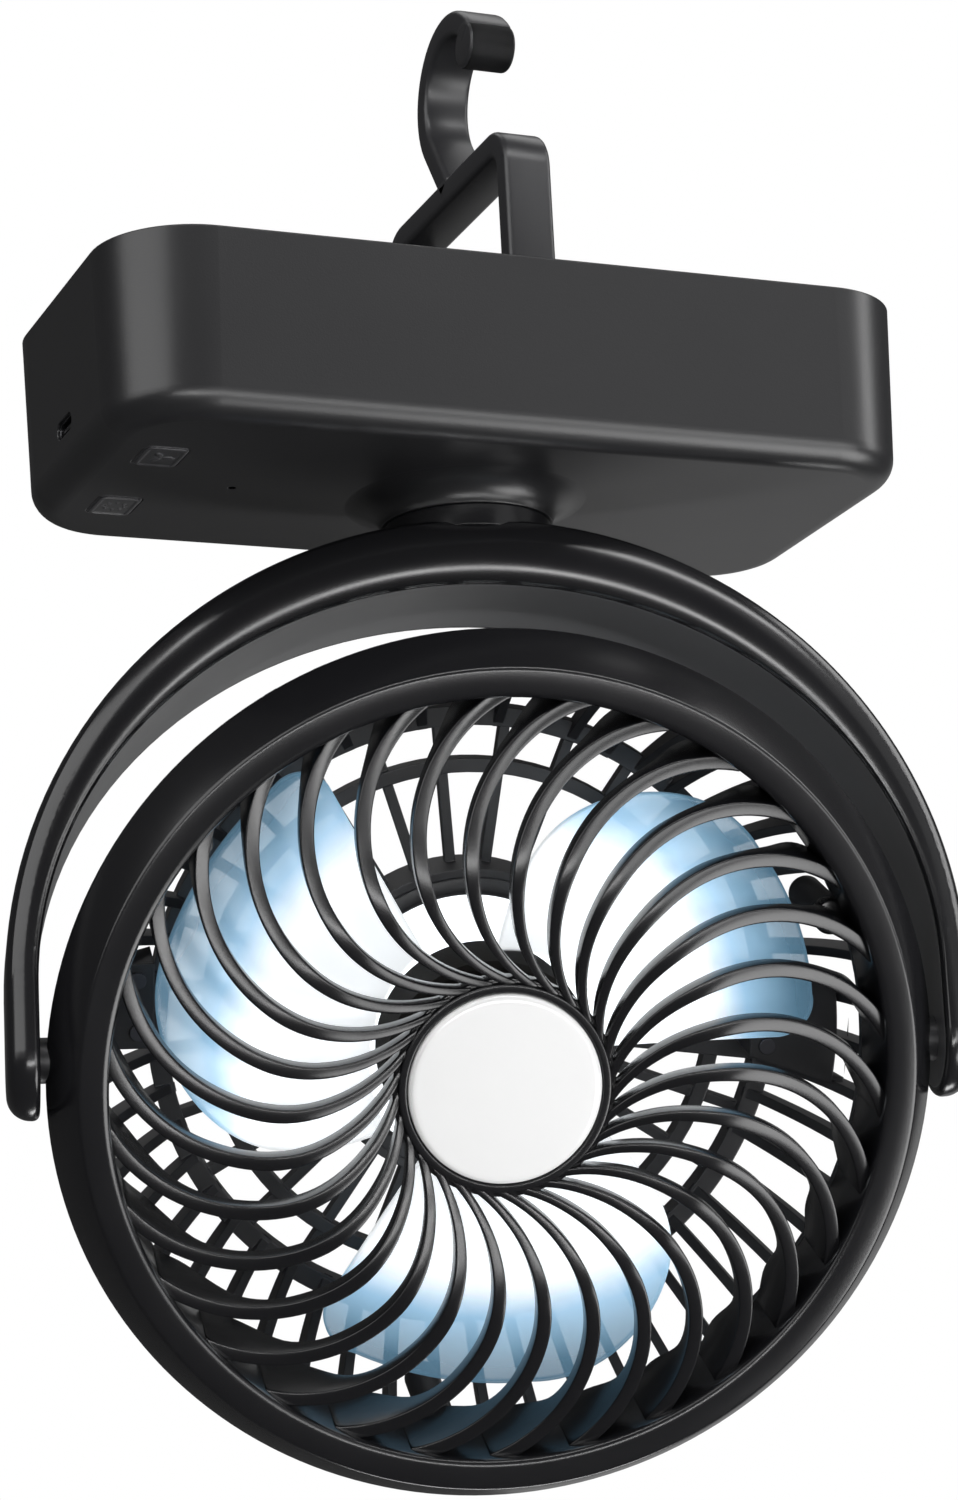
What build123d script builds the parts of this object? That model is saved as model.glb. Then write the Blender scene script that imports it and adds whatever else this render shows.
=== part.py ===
from build123d import *
import math
import os

# Portable camping fan: a battery base hangs from a folding hook, a swivelling yoke hangs under
# the base, and a round fan and light head tilts between the arms of the yoke.
#
# Frame: millimetres, +Z up. The origin is the crook of the hook, where the fan hangs from a line.
# +X runs along the base towards the battery end, -Y is the side that the head faces.

# ------------------------------------------------------------------ clearances

run_gap = 0.05  # radial, pins and shafts that turn in a bore
fit_gap = 0.02  # pieces of one body that are pushed or screwed together
slide_gap = 0.3  # pieces that move past each other
lid_gap = 0.15  # lid inside its rim

# ------------------------------------------------------------------ base

base_length = 150.0
base_depth = 74.5
base_height = 33.3
base_corner = 16.3
base_draft = 2.0  # degrees, the walls lean out towards the hook
base_edge = 5.0
base_wall = 2.2
base_floor = 2.4
rim_wall = 1.4

lid_thickness = 2.2
lid_screw_x = 67.5
lid_screw_y = 29.0
lid_boss_radius = 2.8
lid_screw_radius = 1.1
lid_screw_head = 2.0
lid_screw_head_height = 1.2
lid_screw_length = 9.0

foot_x = 56.0
foot_y = 28.0
foot_radius = 4.0
foot_inset = 0.6
foot_proud = 0.8

# ------------------------------------------------------------------ hook

strap_width = 9.0
strap_thickness = 4.8
strap_edge = 1.0
bail_width = 61.0
bail_corner = 6.5
hinge_x = 3.0
hinge_drop = 4.8  # hinge axis below the top of the base
bail_rise = 35.2  # hinge axis to the top of the bail's bar
eye_rise = 50.4  # hinge axis to the centre of the open hook
eye_y = -4.0
eye_radius = 10.6
eye_strap = 4.7
eye_end_angle = -37.0
root_fillet = 3.0
tip_radius = 3.7
hook_pin_radius = 1.5
hook_pin_boss = 3.2
hook_pin_length = 8.0
recess_gap = 0.5
recess_tip_gap = 1.0
recess_wall = 1.6
recess_corner = 6.0

# ------------------------------------------------------------------ buttons, board, battery

button_x = -62.0
fan_button_y = -12.7
light_button_y = 15.3
button_size_x = 8.0
button_size_y = 10.0
button_corner = 1.6
button_gap = 0.2
button_travel = 0.5
button_flange = 1.0
button_flange_height = 0.8
button_stem = 1.6

usb_y = 0.6
usb_z = 8.9
usb_width = 8.9
usb_height = 3.3
usb_length = 7.3
usb_shell = 0.4
usb_inset = 0.5

lens_x = -44.4
lens_y = 1.1
lens_radius = 0.7
lens_flange = 1.5

board_thickness = 1.6
board_edge_gap = 1.4
board_right = -36.0
board_half_depth = 23.5
board_screw_x = 31.4
board_screw_y = 40.0
board_post_radius = 2.0
board_screw_radius = 0.9
board_screw_head = 1.7
switch_size = 6.0
switch_height = 0.9

cell_radius = 9.2
cell_length = 65.0
cell_first_x = 31.0
cell_pitch = 19.6
cell_count = 2
cell_lift = 0.5
cradle_y = 20.0
cradle_thickness = 2.0

# ------------------------------------------------------------------ swivel and yoke

swivel_angle = -14.0  # rest position about the vertical axis
neck_drop = 4.8
neck_radius = 15.8
flare_radius = 22.0
neck_boss_radius = 14.0
neck_boss_top = 9.0
spindle_radius = 9.0
cable_bore = 4.0
collar_radius = 15.4
collar_gap = 0.15
retainer_radius = 13.0
retainer_thickness = 2.0
retainer_screw_circle = 6.5
retainer_screw_radius = 1.0
retainer_screw_head = 1.8
retainer_screw_length = 6.0
retainer_screws = 3

arch_center = -89.5
arch_span = 85.3  # half width of the outer ellipse
arch_rise = 82.6
arm_thickness = 5.7
arch_inner_rise = 70.0
band_top = 15.8  # half width of the band at the top of the arch
band_arm = 10.4  # half width of the band along the arms
band_blend = 200.0
yoke_outer_edge = 4.2
yoke_inner_edge = 1.2
liner_thickness = 2.0
liner_inset = 1.7
yoke_wall = 1.9
channel_inset = 3.5

# ------------------------------------------------------------------ tilt pivot and head

pivot_z = -101.0
tilt_angle = 25.0  # rest position, facing down from the horizontal
pivot_above = 3.1  # pivot axis above the centre of the head
pivot_behind = 1.4  # pivot axis behind the plane of the head's centre
pin_radius = 4.0
pin_bore = 2.4
pin_flange_radius = 6.0
pin_flange = 1.4
pin_end = 71.5
saddle_wall = 2.4

bezel_radius = 78.6
bezel_back = -1.0
bezel_widest = 1.2
bezel_face = 12.0
bezel_face_radius = 73.4
bezel_wall = 2.2
lip_radius = 68.1
shroud_wall = 1.8
shroud_back = -8.0

rib_count = 30
rib_thickness = 1.6
rib_radius = 27.6
rib_circle = 45.44  # the ribs' arcs are centred on this circle
rib_phase = -9.2
rib_depth = 4.0

collar_step_radius = 19.6
hub_rim_radius = 18.6
cap_radius = 17.0
cap_top = 14.8
hub_rim_top = 14.0
hub_back = 9.4
hub_floor = 1.6
cap_bevel = 0.9
cap_stud = 3.0

# ------------------------------------------------------------------ rear housing

housing_radius = 76.9
housing_back_radius = 76.0
housing_back = -9.2
housing_wall = 2.2
housing_ribs = 50
housing_rib_width = 2.4
housing_rib_proud = 0.6
guard_phase = 5.2
guard_bar_width = 1.8
guard_bar_depth = 4.0
ring_a_inner = 55.0
ring_a_outer = 58.6
ring_a_front = -36.2
ring_b_inner = 46.0
ring_b_outer = 48.6
guard_back = -41.3
mid_bars = 28
mid_bar_phase = 5.6
mid_bar_width = 1.9
mid_bar_depth = 3.0
drum_radius = 29.3
drum_wall = 1.6
drum_front = -31.0
drum_back = -45.0
drum_floor = 1.8

post_radius = 3.2
post_circle = 66.0
post_foot = 4.0
post_angles = (22.2, 142.2, 262.2)
boss_top = -4.6
housing_screw_radius = 1.2
housing_screw_head = 2.3
housing_screw_seat = -21.5
housing_screw_tip = -6.8
housing_screw_head_height = 1.6

duct_front = -20.8  # lids of the two cable ducts, just behind the blades
duct_lid = 1.4
duct_lid_reach = 66.6
duct_wall = 1.6
duct_beam_angle = -7.0
duct_beam_width = 5.2
duct_beam_depth = 4.6
duct_screw_radius = 0.8
duct_screw_head = 1.5
duct_screw_length = 5.0

# ------------------------------------------------------------------ motor, rotor and light

shaft_radius = 1.5
bearing_radius = 4.0
bearing_height = 3.0
tube_radius = 9.5
tube_neck_radius = 5.0
tube_shoulder = -19.0
tube_top = -6.4
tube_flange_radius = 10.8
tube_flange = 2.0
stator_radius = 14.4
stator_back = -18.0
stator_front = -7.4
stator_poles = 9
stator_hub = 7.0
pole_width = 2.6
pole_tip = 1.6
pole_tip_width = 8.0

hub_front = -1.0
hub_back_edge = -17.6
hub_radius = 19.0
hub_wall = 1.5
magnet_thickness = 1.9
sleeve_wall = 1.0
blade_count = 3
blade_phase = 40.0
blade_thickness = 1.5
blade_mid = -8.0
blade_camber = 1.6
blade_tip = 61.0

led_ring_inner = 11.6
led_ring_gap = 0.3
led_board_back = -38.2
led_board_thickness = 1.4
led_count = 12
led_circle = 19.5
led_size = 3.0
led_height = 0.7
led_lens_front = -31.6
led_lens_thickness = 1.6
led_standoff_radius = 1.8
led_standoff_circle = 24.5
led_standoffs = 3

# ------------------------------------------------------------------ planes

lid_seat = base_height - lid_thickness
hinge_z = base_height - hinge_drop
crook_z = hinge_z + eye_rise + eye_radius
BASE = Plane(origin=(-hinge_x, -eye_y, -crook_z), x_dir=(1, 0, 0), z_dir=(0, 0, 1))
YOKE = BASE.rotated((0, 0, swivel_angle))


def section(plane):
    """Upright plane through another plane's axis: x is that plane's x, y is its axis."""
    return Plane(origin=plane.origin, x_dir=plane.x_dir, z_dir=-plane.y_dir)


def side(plane):
    """Upright plane across another plane's x axis: x is that plane's y, y is its axis."""
    return Plane(origin=plane.origin, x_dir=plane.y_dir, z_dir=plane.x_dir)


def axis_of(plane):
    """The axis through a plane's origin, along its normal."""
    return Axis(plane.origin, plane.z_dir)


tilt = math.radians(tilt_angle)
facing = -YOKE.y_dir * math.cos(tilt) - YOKE.z_dir * math.sin(tilt)
PIVOT = Plane(origin=YOKE.offset(pivot_z).origin, x_dir=YOKE.x_dir, z_dir=facing)
head_center = PIVOT.origin - PIVOT.y_dir * pivot_above + PIVOT.z_dir * pivot_behind
HEAD = Plane(origin=head_center, x_dir=PIVOT.x_dir, z_dir=facing)

os.makedirs("parts", exist_ok=True)


def write(builder, name):
    """Label a finished piece and write its STEP file."""
    builder.part.label = name
    export_step(builder.part, f"parts/{name}.step")


def polar(radius, angle):
    """Point at a radius and an angle in degrees."""
    return (radius * math.cos(math.radians(angle)), radius * math.sin(math.radians(angle)))


# ------------------------------------------------------------------ base shell


def base_outline(height, inset):
    """Length, depth and corner radius of the drafted box at a height, moved in by an inset."""
    grow = height * math.tan(math.radians(base_draft)) - inset
    return base_length + 2 * grow, base_depth + 2 * grow, base_corner + grow


spindle_bore = spindle_radius + run_gap
board_top = usb_z - usb_height / 2
board_bottom = board_top - board_thickness
board_left = -base_length / 2 + base_wall + board_edge_gap
board_x = (board_left + board_right) / 2
cell_z = base_floor + cell_lift + cell_radius
cell_mid_x = cell_first_x + cell_pitch * (cell_count - 1) / 2
usb_face_x = -base_length / 2 - usb_z * math.tan(math.radians(base_draft))
USB = Plane(origin=BASE.from_local_coords((usb_face_x + usb_inset, usb_y, usb_z)), x_dir=(0, 1, 0), z_dir=(1, 0, 0))
buttons = ((button_x, fan_button_y), (button_x, light_button_y))

with BuildPart() as base_cavity:
    with BuildSketch(BASE.offset(base_floor)):
        RectangleRounded(*base_outline(base_floor, base_wall))
    extrude(amount=base_height, taper=-base_draft)
    fillet(base_cavity.faces().sort_by(Axis.Z)[0].edges(), base_edge - base_wall)

with BuildPart() as base_shell:
    with BuildSketch(BASE):
        RectangleRounded(*base_outline(0, 0))
    extrude(amount=base_height, taper=-base_draft)
    fillet(base_shell.faces().sort_by(Axis.Z)[0].edges(), base_edge)
    add(base_cavity.part, mode=Mode.SUBTRACT)
    # Step in the rim that the lid drops onto
    with BuildSketch(BASE.offset(lid_seat)):
        RectangleRounded(*base_outline(lid_seat, rim_wall))
    extrude(amount=base_height, taper=-base_draft, mode=Mode.SUBTRACT)
    # Flared neck below the floor and bearing boss above it
    with BuildSketch(section(BASE)):
        with BuildLine():
            Line((spindle_bore, -neck_drop), (neck_radius, -neck_drop))
            EllipticalCenterArc((flare_radius, -neck_drop), flare_radius - neck_radius, neck_drop, 90, arc_size=90)
            Polyline(
                (flare_radius, 0),
                (flare_radius, base_floor),
                (neck_boss_radius, base_floor),
                (neck_boss_radius, neck_boss_top),
                (spindle_bore, neck_boss_top),
                (spindle_bore, -neck_drop),
            )
        make_face()
    revolve(axis=axis_of(BASE))
    with BuildSketch(BASE.offset(-neck_drop)):
        Circle(spindle_bore)
    extrude(amount=neck_drop + neck_boss_top, mode=Mode.SUBTRACT)
    # Bosses for the lid screws, posts under the board, cradles under the cells
    with BuildSketch(BASE.offset(base_floor)):
        with GridLocations(2 * lid_screw_x, 2 * lid_screw_y, 2, 2):
            Circle(lid_boss_radius)
    extrude(amount=lid_seat - base_floor)
    with BuildSketch(BASE.offset(base_floor)):
        with Locations((board_x, 0)):
            with GridLocations(board_screw_x, board_screw_y, 2, 2):
                Circle(board_post_radius)
    extrude(amount=board_bottom - base_floor)
    for cradle_place in (-cradle_y, cradle_y):
        with BuildSketch(section(BASE).offset(cradle_place)):
            with Locations((cell_mid_x, (base_floor + cell_z) / 2)):
                Rectangle(cell_pitch * cell_count, cell_z - base_floor)
            with Locations((cell_mid_x, cell_z)):
                with GridLocations(cell_pitch, 1, cell_count, 1):
                    Circle(cell_radius + fit_gap, mode=Mode.SUBTRACT)
        extrude(amount=cradle_thickness / 2, both=True)
    # Screw pilots
    with BuildSketch(BASE.offset(lid_seat)):
        with GridLocations(2 * lid_screw_x, 2 * lid_screw_y, 2, 2):
            Circle(lid_screw_radius + fit_gap)
    extrude(amount=-lid_screw_length, mode=Mode.SUBTRACT)
    with BuildSketch(BASE.offset(board_bottom)):
        with Locations((board_x, 0)):
            with GridLocations(board_screw_x, board_screw_y, 2, 2):
                Circle(board_screw_radius + fit_gap)
    extrude(amount=base_floor - board_bottom, mode=Mode.SUBTRACT)
    # Windows for the buttons, the indicator and the charging port
    with BuildSketch(BASE):
        with Locations(*buttons):
            RectangleRounded(button_size_x + 2 * button_gap, button_size_y + 2 * button_gap, button_corner)
        with Locations((lens_x, lens_y)):
            Circle(lens_radius + fit_gap)
    extrude(amount=base_floor, mode=Mode.SUBTRACT)
    with BuildSketch(USB.offset(-base_wall)):
        SlotOverall(usb_width + 2 * fit_gap, usb_height + 2 * fit_gap)
    extrude(amount=3 * base_wall, mode=Mode.SUBTRACT)
write(base_shell, "base_shell")

# ------------------------------------------------------------------ lid with the hook's recess

recess_depth = hinge_drop + strap_width / 2 + recess_gap
recess_floor = base_height - recess_depth
recess_right = hinge_x + strap_width / 2 + slide_gap
recess_half = bail_width / 2 + recess_gap
bail_left = hinge_x - bail_rise - recess_tip_gap
eye_outer = eye_radius + eye_strap
hook_left = hinge_x - eye_rise - eye_outer - recess_tip_gap
tip_y = eye_y - eye_radius - eye_strap / 2
pocket_front = tip_y - tip_radius - recess_tip_gap
pocket_rear = eye_y + eye_outer + recess_tip_gap
HINGE = BASE.offset(hinge_z)


def recess_solid(grow, bottom, top):
    """Prism of the hook's outline as it lies folded, grown by a wall."""
    with BuildPart() as recess:
        with BuildSketch(BASE.offset(bottom)):
            with Locations(((recess_right + bail_left) / 2, 0)):
                RectangleRounded(
                    recess_right - bail_left + 2 * grow, 2 * recess_half + 2 * grow, strap_edge + grow
                )
            with Locations(((bail_left + hook_left) / 2 + recess_corner, (pocket_front + pocket_rear) / 2)):
                RectangleRounded(
                    bail_left - hook_left + 2 * recess_corner + 2 * grow,
                    pocket_rear - pocket_front + 2 * grow,
                    recess_corner + grow,
                )
        extrude(amount=top - bottom)
    return recess.part


recess_tub = recess_solid(recess_wall, recess_floor - recess_wall, lid_seat)
recess_space = recess_solid(0, recess_floor, base_height + recess_wall)

with BuildPart() as base_cover:
    with BuildSketch(BASE.offset(lid_seat)):
        RectangleRounded(*base_outline(lid_seat, rim_wall + lid_gap))
    extrude(amount=lid_thickness, taper=-base_draft)
    add(recess_tub)
    # Bosses for the hook's two hinge pins
    for end in (-1, 1):
        with BuildSketch(section(BASE).offset(end * recess_half)):
            with Locations((hinge_x, hinge_z)):
                Circle(hook_pin_boss)
        extrude(amount=end * (hook_pin_length - strap_thickness))
    add(recess_space, mode=Mode.SUBTRACT)
    for end in (-1, 1):
        with BuildSketch(section(BASE).offset(end * (bail_width / 2))):
            with Locations((hinge_x, hinge_z)):
                Circle(hook_pin_radius + fit_gap)
        extrude(amount=end * (hook_pin_length - strap_thickness), mode=Mode.SUBTRACT)
    # Screw holes with sunk heads, and seats for the rubber feet
    with BuildSketch(BASE.offset(lid_seat)):
        with GridLocations(2 * lid_screw_x, 2 * lid_screw_y, 2, 2):
            Circle(lid_screw_radius + fit_gap)
    extrude(amount=lid_thickness, mode=Mode.SUBTRACT)
    with BuildSketch(BASE.offset(base_height)):
        with GridLocations(2 * lid_screw_x, 2 * lid_screw_y, 2, 2):
            Circle(lid_screw_head + lid_gap)
    extrude(amount=-lid_screw_head_height, mode=Mode.SUBTRACT)
    with BuildSketch(BASE.offset(base_height)):
        with GridLocations(2 * foot_x, 2 * foot_y, 2, 2):
            Circle(foot_radius + fit_gap)
    extrude(amount=-foot_inset, mode=Mode.SUBTRACT)
write(base_cover, "base_cover")

with BuildPart() as cover_screws:
    with BuildSketch(BASE.offset(base_height)):
        with GridLocations(2 * lid_screw_x, 2 * lid_screw_y, 2, 2):
            Circle(lid_screw_head)
    extrude(amount=-lid_screw_head_height)
    with BuildSketch(BASE.offset(base_height - lid_screw_head_height)):
        with GridLocations(2 * lid_screw_x, 2 * lid_screw_y, 2, 2):
            Circle(lid_screw_radius)
    extrude(amount=lid_screw_head_height - lid_screw_length)
write(cover_screws, "cover_screws")

with BuildPart() as rubber_feet:
    with BuildSketch(BASE.offset(base_height - foot_inset)):
        with GridLocations(2 * foot_x, 2 * foot_y, 2, 2):
            Circle(foot_radius)
    extrude(amount=foot_inset + foot_proud)
write(rubber_feet, "rubber_feet")

# ------------------------------------------------------------------ folding hook and its pins

EYE = Plane(origin=BASE.from_local_coords((hinge_x, 0, hinge_z)), x_dir=(0, 1, 0), z_dir=(1, 0, 0))
eye_mid = eye_radius + eye_strap / 2
bar_bottom = bail_rise - strap_thickness
root = (eye_y + polar(eye_mid, eye_end_angle)[0], eye_rise + polar(eye_mid, eye_end_angle)[1])
root_run = (root[1] - bail_rise + strap_thickness / 2) / math.cos(math.radians(eye_end_angle))
root_foot = (
    root[0] + root_run * math.sin(math.radians(eye_end_angle)),
    root[1] - root_run * math.cos(math.radians(eye_end_angle)),
)

with BuildPart() as hanging_hook:
    with BuildSketch(EYE) as hook_outline:
        # Gate-shaped bail
        with Locations((0, (bail_rise - strap_width) / 2)):
            Rectangle(bail_width, bail_rise + strap_width)
        fillet(hook_outline.vertices().group_by(Axis.Y)[-1], bail_corner)
        with Locations((0, bar_bottom - bail_rise)):
            RectangleRounded(
                bail_width - 2 * strap_thickness, 2 * bail_rise, bail_corner - strap_thickness, mode=Mode.SUBTRACT
            )
        # Open hook, its straight root and its rounded tip
        with BuildLine():
            outer_curl = CenterArc((eye_y, eye_rise), eye_outer, eye_end_angle, 180 - eye_end_angle)
            inner_curl = CenterArc((eye_y, eye_rise), eye_radius, eye_end_angle, 180 - eye_end_angle)
            Line(outer_curl @ 0, inner_curl @ 0)
            Line(outer_curl @ 1, inner_curl @ 1)
        make_face()
        with Locations(((root[0] + root_foot[0]) / 2, (root[1] + root_foot[1]) / 2)):
            Rectangle(eye_strap, root_run, rotation=eye_end_angle)
        with Locations((tip_y, eye_rise)):
            Circle(tip_radius)
        bar_joints = hook_outline.vertices().filter_by_position(Axis.Y, bail_rise - fit_gap, bail_rise + fit_gap)
        fillet(bar_joints.filter_by_position(Axis.X, eye_y - eye_outer, eye_outer), root_fillet)
        tip_joints = hook_outline.vertices().filter_by_position(Axis.Y, eye_rise, eye_rise + tip_radius)
        fillet(tip_joints.filter_by_position(Axis.X, eye_y - eye_outer, eye_y), tip_radius / 2)
    extrude(amount=strap_width / 2, both=True)
    fillet(hanging_hook.faces().filter_by(Axis.X).edges(), strap_edge)
    # Round feet
    with BuildSketch(section(HINGE)):
        with Locations((hinge_x, 0)):
            Circle(strap_width / 2)
        with Locations((hinge_x, crook_z / 2)):
            Rectangle(strap_width, crook_z)
    extrude(amount=bail_width, both=True, mode=Mode.INTERSECT)
    with BuildSketch(section(HINGE)):
        with Locations((hinge_x, 0)):
            Circle(hook_pin_radius + run_gap)
    extrude(amount=bail_width, both=True, mode=Mode.SUBTRACT)
write(hanging_hook, "hanging_hook")

with BuildPart() as hook_pins:
    for end in (-1, 1):
        with BuildSketch(section(HINGE).offset(end * (bail_width / 2 - strap_thickness))):
            with Locations((hinge_x, 0)):
                Circle(hook_pin_radius)
        extrude(amount=end * (hook_pin_length - fit_gap))
write(hook_pins, "hook_pins")

# ------------------------------------------------------------------ buttons, board, port, lens, cells

button_stem_top = board_bottom - switch_height - button_travel - fit_gap


def button(place, name):
    """Push button: cap in its window, flange above the floor and stem towards its switch."""
    with BuildPart() as key:
        with BuildSketch(BASE):
            with Locations(place):
                RectangleRounded(button_size_x, button_size_y, button_corner - button_gap)
        extrude(amount=base_floor + fit_gap)
        with BuildSketch(BASE.offset(base_floor + fit_gap)):
            with Locations(place):
                Rectangle(button_size_x + 2 * button_flange, button_size_y + 2 * button_flange)
        extrude(amount=button_flange_height)
        with BuildSketch(BASE.offset(base_floor)):
            with Locations(place):
                Circle(button_stem)
        extrude(amount=button_stem_top - base_floor)
    write(key, name)


button(buttons[0], "fan_button")
button(buttons[1], "light_button")

with BuildPart() as control_board:
    with BuildSketch(BASE.offset(board_bottom)):
        with Locations((board_x, 0)):
            Rectangle(board_right - board_left, 2 * board_half_depth)
            with GridLocations(board_screw_x, board_screw_y, 2, 2):
                Circle(board_screw_radius + fit_gap, mode=Mode.SUBTRACT)
    extrude(amount=board_thickness)
    # Tact switches above the buttons and the indicator's light source
    with BuildSketch(BASE.offset(board_bottom)):
        with Locations(*buttons):
            Rectangle(switch_size, switch_size)
    extrude(amount=-switch_height)
    with BuildSketch(BASE.offset(board_bottom)):
        with Locations((lens_x, lens_y)):
            Rectangle(2 * lens_flange, 2 * lens_flange)
    extrude(amount=-switch_height)
write(control_board, "control_board")

with BuildPart() as board_screws:
    with BuildSketch(BASE.offset(board_top)):
        with Locations((board_x, 0)):
            with GridLocations(board_screw_x, board_screw_y, 2, 2):
                Circle(board_screw_head)
    extrude(amount=lid_screw_head_height)
    with BuildSketch(BASE.offset(board_top)):
        with Locations((board_x, 0)):
            with GridLocations(board_screw_x, board_screw_y, 2, 2):
                Circle(board_screw_radius)
    extrude(amount=base_floor - board_top + fit_gap)
write(board_screws, "board_screws")

with BuildPart() as usb_port:
    with BuildSketch(USB):
        SlotOverall(usb_width, usb_height)
        SlotOverall(usb_width - 2 * usb_shell, usb_height - 2 * usb_shell, mode=Mode.SUBTRACT)
    extrude(amount=usb_length)
    with BuildSketch(USB.offset(usb_length - usb_shell)):
        SlotOverall(usb_width, usb_height)
    extrude(amount=usb_shell)
    # Contact tongue
    with BuildSketch(USB.offset(usb_shell)):
        Rectangle(usb_width - 3 * usb_shell - usb_height / 2, usb_height / 5)
    extrude(amount=usb_length - usb_shell)
write(usb_port, "usb_port")

with BuildPart() as indicator_lens:
    with BuildSketch(BASE.offset(fit_gap)):
        with Locations((lens_x, lens_y)):
            Circle(lens_radius)
    extrude(amount=base_floor)
    with BuildSketch(BASE.offset(base_floor + fit_gap)):
        with Locations((lens_x, lens_y)):
            Circle(lens_flange)
    extrude(amount=board_bottom - switch_height - base_floor - 2 * fit_gap)
write(indicator_lens, "indicator_lens")

with BuildPart() as battery_cells:
    with BuildSketch(section(BASE)):
        with Locations((cell_mid_x, cell_z)):
            with GridLocations(cell_pitch, 1, cell_count, 1):
                Circle(cell_radius)
    extrude(amount=cell_length / 2, both=True)
write(battery_cells, "battery_cells")

# ------------------------------------------------------------------ yoke

arch_top = arch_center + arch_rise
inner_span = arch_span - arm_thickness
collar_top = -neck_drop - collar_gap
spindle_top = neck_boss_top + collar_gap


def arch_solid(outer, inner, inset):
    """Arch between two (half span, rise) outlines, its band moved in from the sides by an inset."""
    arm_foot = pivot_z - 2 * band_arm
    half_top = band_top - inset
    half_arm = band_arm - inset
    with BuildPart() as arch:
        with BuildSketch(section(YOKE)):
            with BuildLine():
                EllipticalCenterArc((0, arch_center), outer[0], outer[1], 0, arc_size=180)
                EllipticalCenterArc((0, arch_center), inner[0], inner[1], 0, arc_size=180)
                for end in (-1, 1):
                    Polyline(
                        (end * outer[0], arch_center),
                        (end * outer[0], arm_foot),
                        (end * inner[0], arm_foot),
                        (end * inner[0], arch_center),
                    )
            make_face()
        extrude(amount=2 * band_top, both=True)
        with BuildSketch(side(YOKE)) as band:
            with BuildLine():
                Polyline(
                    (half_arm, pivot_z),
                    (half_arm, arch_center),
                    (half_top, arch_top),
                    (half_top, 0),
                    (-half_top, 0),
                    (-half_top, arch_top),
                    (-half_arm, arch_center),
                    (-half_arm, pivot_z),
                )
                CenterArc((0, pivot_z), half_arm, 180, 180)
            make_face()
            bends = band.vertices().filter_by_position(Axis.Y, arch_center - fit_gap, arch_center + fit_gap)
            fillet(bends, band_blend)
        extrude(amount=2 * arch_span, both=True, mode=Mode.INTERSECT)
    return arch.part


def arch_edges(part, outline):
    """Long edges of an arch that run on its ellipse and arms of that half span and rise."""
    found = []
    for edge in part.edges():
        points = [YOKE.to_local_coords(edge.position_at(share)) for share in (0.1, 0.5, 0.9)]
        heights = [max(point.Z - arch_center, 0) for point in points]
        off = [abs(math.hypot(point.X / outline[0], z / outline[1]) - 1) for point, z in zip(points, heights)]
        across = max(abs(point.Z - arch_center) for point in points) < fit_gap
        if max(off) < fit_gap / arch_span and not across:
            found.append(edge)
    return found


outer_arch = (arch_span, arch_rise)
inner_arch = (inner_span, arch_inner_rise)
liner_back = (inner_span + liner_thickness, arch_inner_rise + liner_thickness)
liner_seat = (liner_back[0] + fit_gap, liner_back[1] + fit_gap)
channel_top = (arch_span - yoke_wall, arch_rise - yoke_wall)
below_inner = (inner_span - yoke_wall, arch_inner_rise - yoke_wall)
liner_space = arch_solid(liner_seat, below_inner, liner_inset - fit_gap)
channel_space = arch_solid(channel_top, inner_arch, channel_inset)

with BuildPart() as yoke:
    add(arch_solid(outer_arch, inner_arch, 0))
    fillet(arch_edges(yoke.part, outer_arch), yoke_outer_edge)
    fillet(arch_edges(yoke.part, inner_arch), yoke_inner_edge)
    add(liner_space, mode=Mode.SUBTRACT)
    add(channel_space, mode=Mode.SUBTRACT)
    # Collar under the base's neck, and the hollow spindle that turns in it
    with BuildSketch(YOKE.offset(collar_top)):
        Circle(collar_radius)
    extrude(amount=arch_top - yoke_wall - collar_top)
    with BuildSketch(YOKE.offset(collar_top)):
        Circle(spindle_radius)
    extrude(amount=spindle_top - collar_top)
    with BuildSketch(YOKE.offset(spindle_top)):
        Circle(cable_bore)
    extrude(amount=arch_top - 2 * yoke_wall - spindle_top, mode=Mode.SUBTRACT)
    with BuildSketch(YOKE.offset(spindle_top)):
        with PolarLocations(retainer_screw_circle, retainer_screws):
            Circle(retainer_screw_radius + fit_gap)
    extrude(amount=-retainer_screw_length, mode=Mode.SUBTRACT)
write(yoke, "yoke")

with BuildPart() as yoke_liner:
    add(arch_solid(liner_back, inner_arch, liner_inset))
    with BuildSketch(side(YOKE)):
        with Locations((0, pivot_z)):
            Circle(pin_radius + run_gap)
    extrude(amount=arch_span, both=True, mode=Mode.SUBTRACT)
write(yoke_liner, "yoke_liner")

with BuildPart() as swivel_retainer:
    with BuildSketch(YOKE.offset(spindle_top)):
        Circle(retainer_radius)
        Circle(cable_bore, mode=Mode.SUBTRACT)
        with PolarLocations(retainer_screw_circle, retainer_screws):
            Circle(retainer_screw_radius + fit_gap, mode=Mode.SUBTRACT)
    extrude(amount=retainer_thickness)
write(swivel_retainer, "swivel_retainer")

with BuildPart() as swivel_screws:
    with BuildSketch(YOKE.offset(spindle_top + retainer_thickness)):
        with PolarLocations(retainer_screw_circle, retainer_screws):
            Circle(retainer_screw_head)
    extrude(amount=lid_screw_head_height)
    with BuildSketch(YOKE.offset(spindle_top + retainer_thickness)):
        with PolarLocations(retainer_screw_circle, retainer_screws):
            Circle(retainer_screw_radius)
    extrude(amount=fit_gap - retainer_screw_length - retainer_thickness)
write(swivel_screws, "swivel_screws")

# ------------------------------------------------------------------ tilt pins

pin_head = liner_back[0] + lid_gap
pin_line = side(Plane(origin=PIVOT.origin, x_dir=PIVOT.x_dir, z_dir=PIVOT.y_dir))


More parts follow.
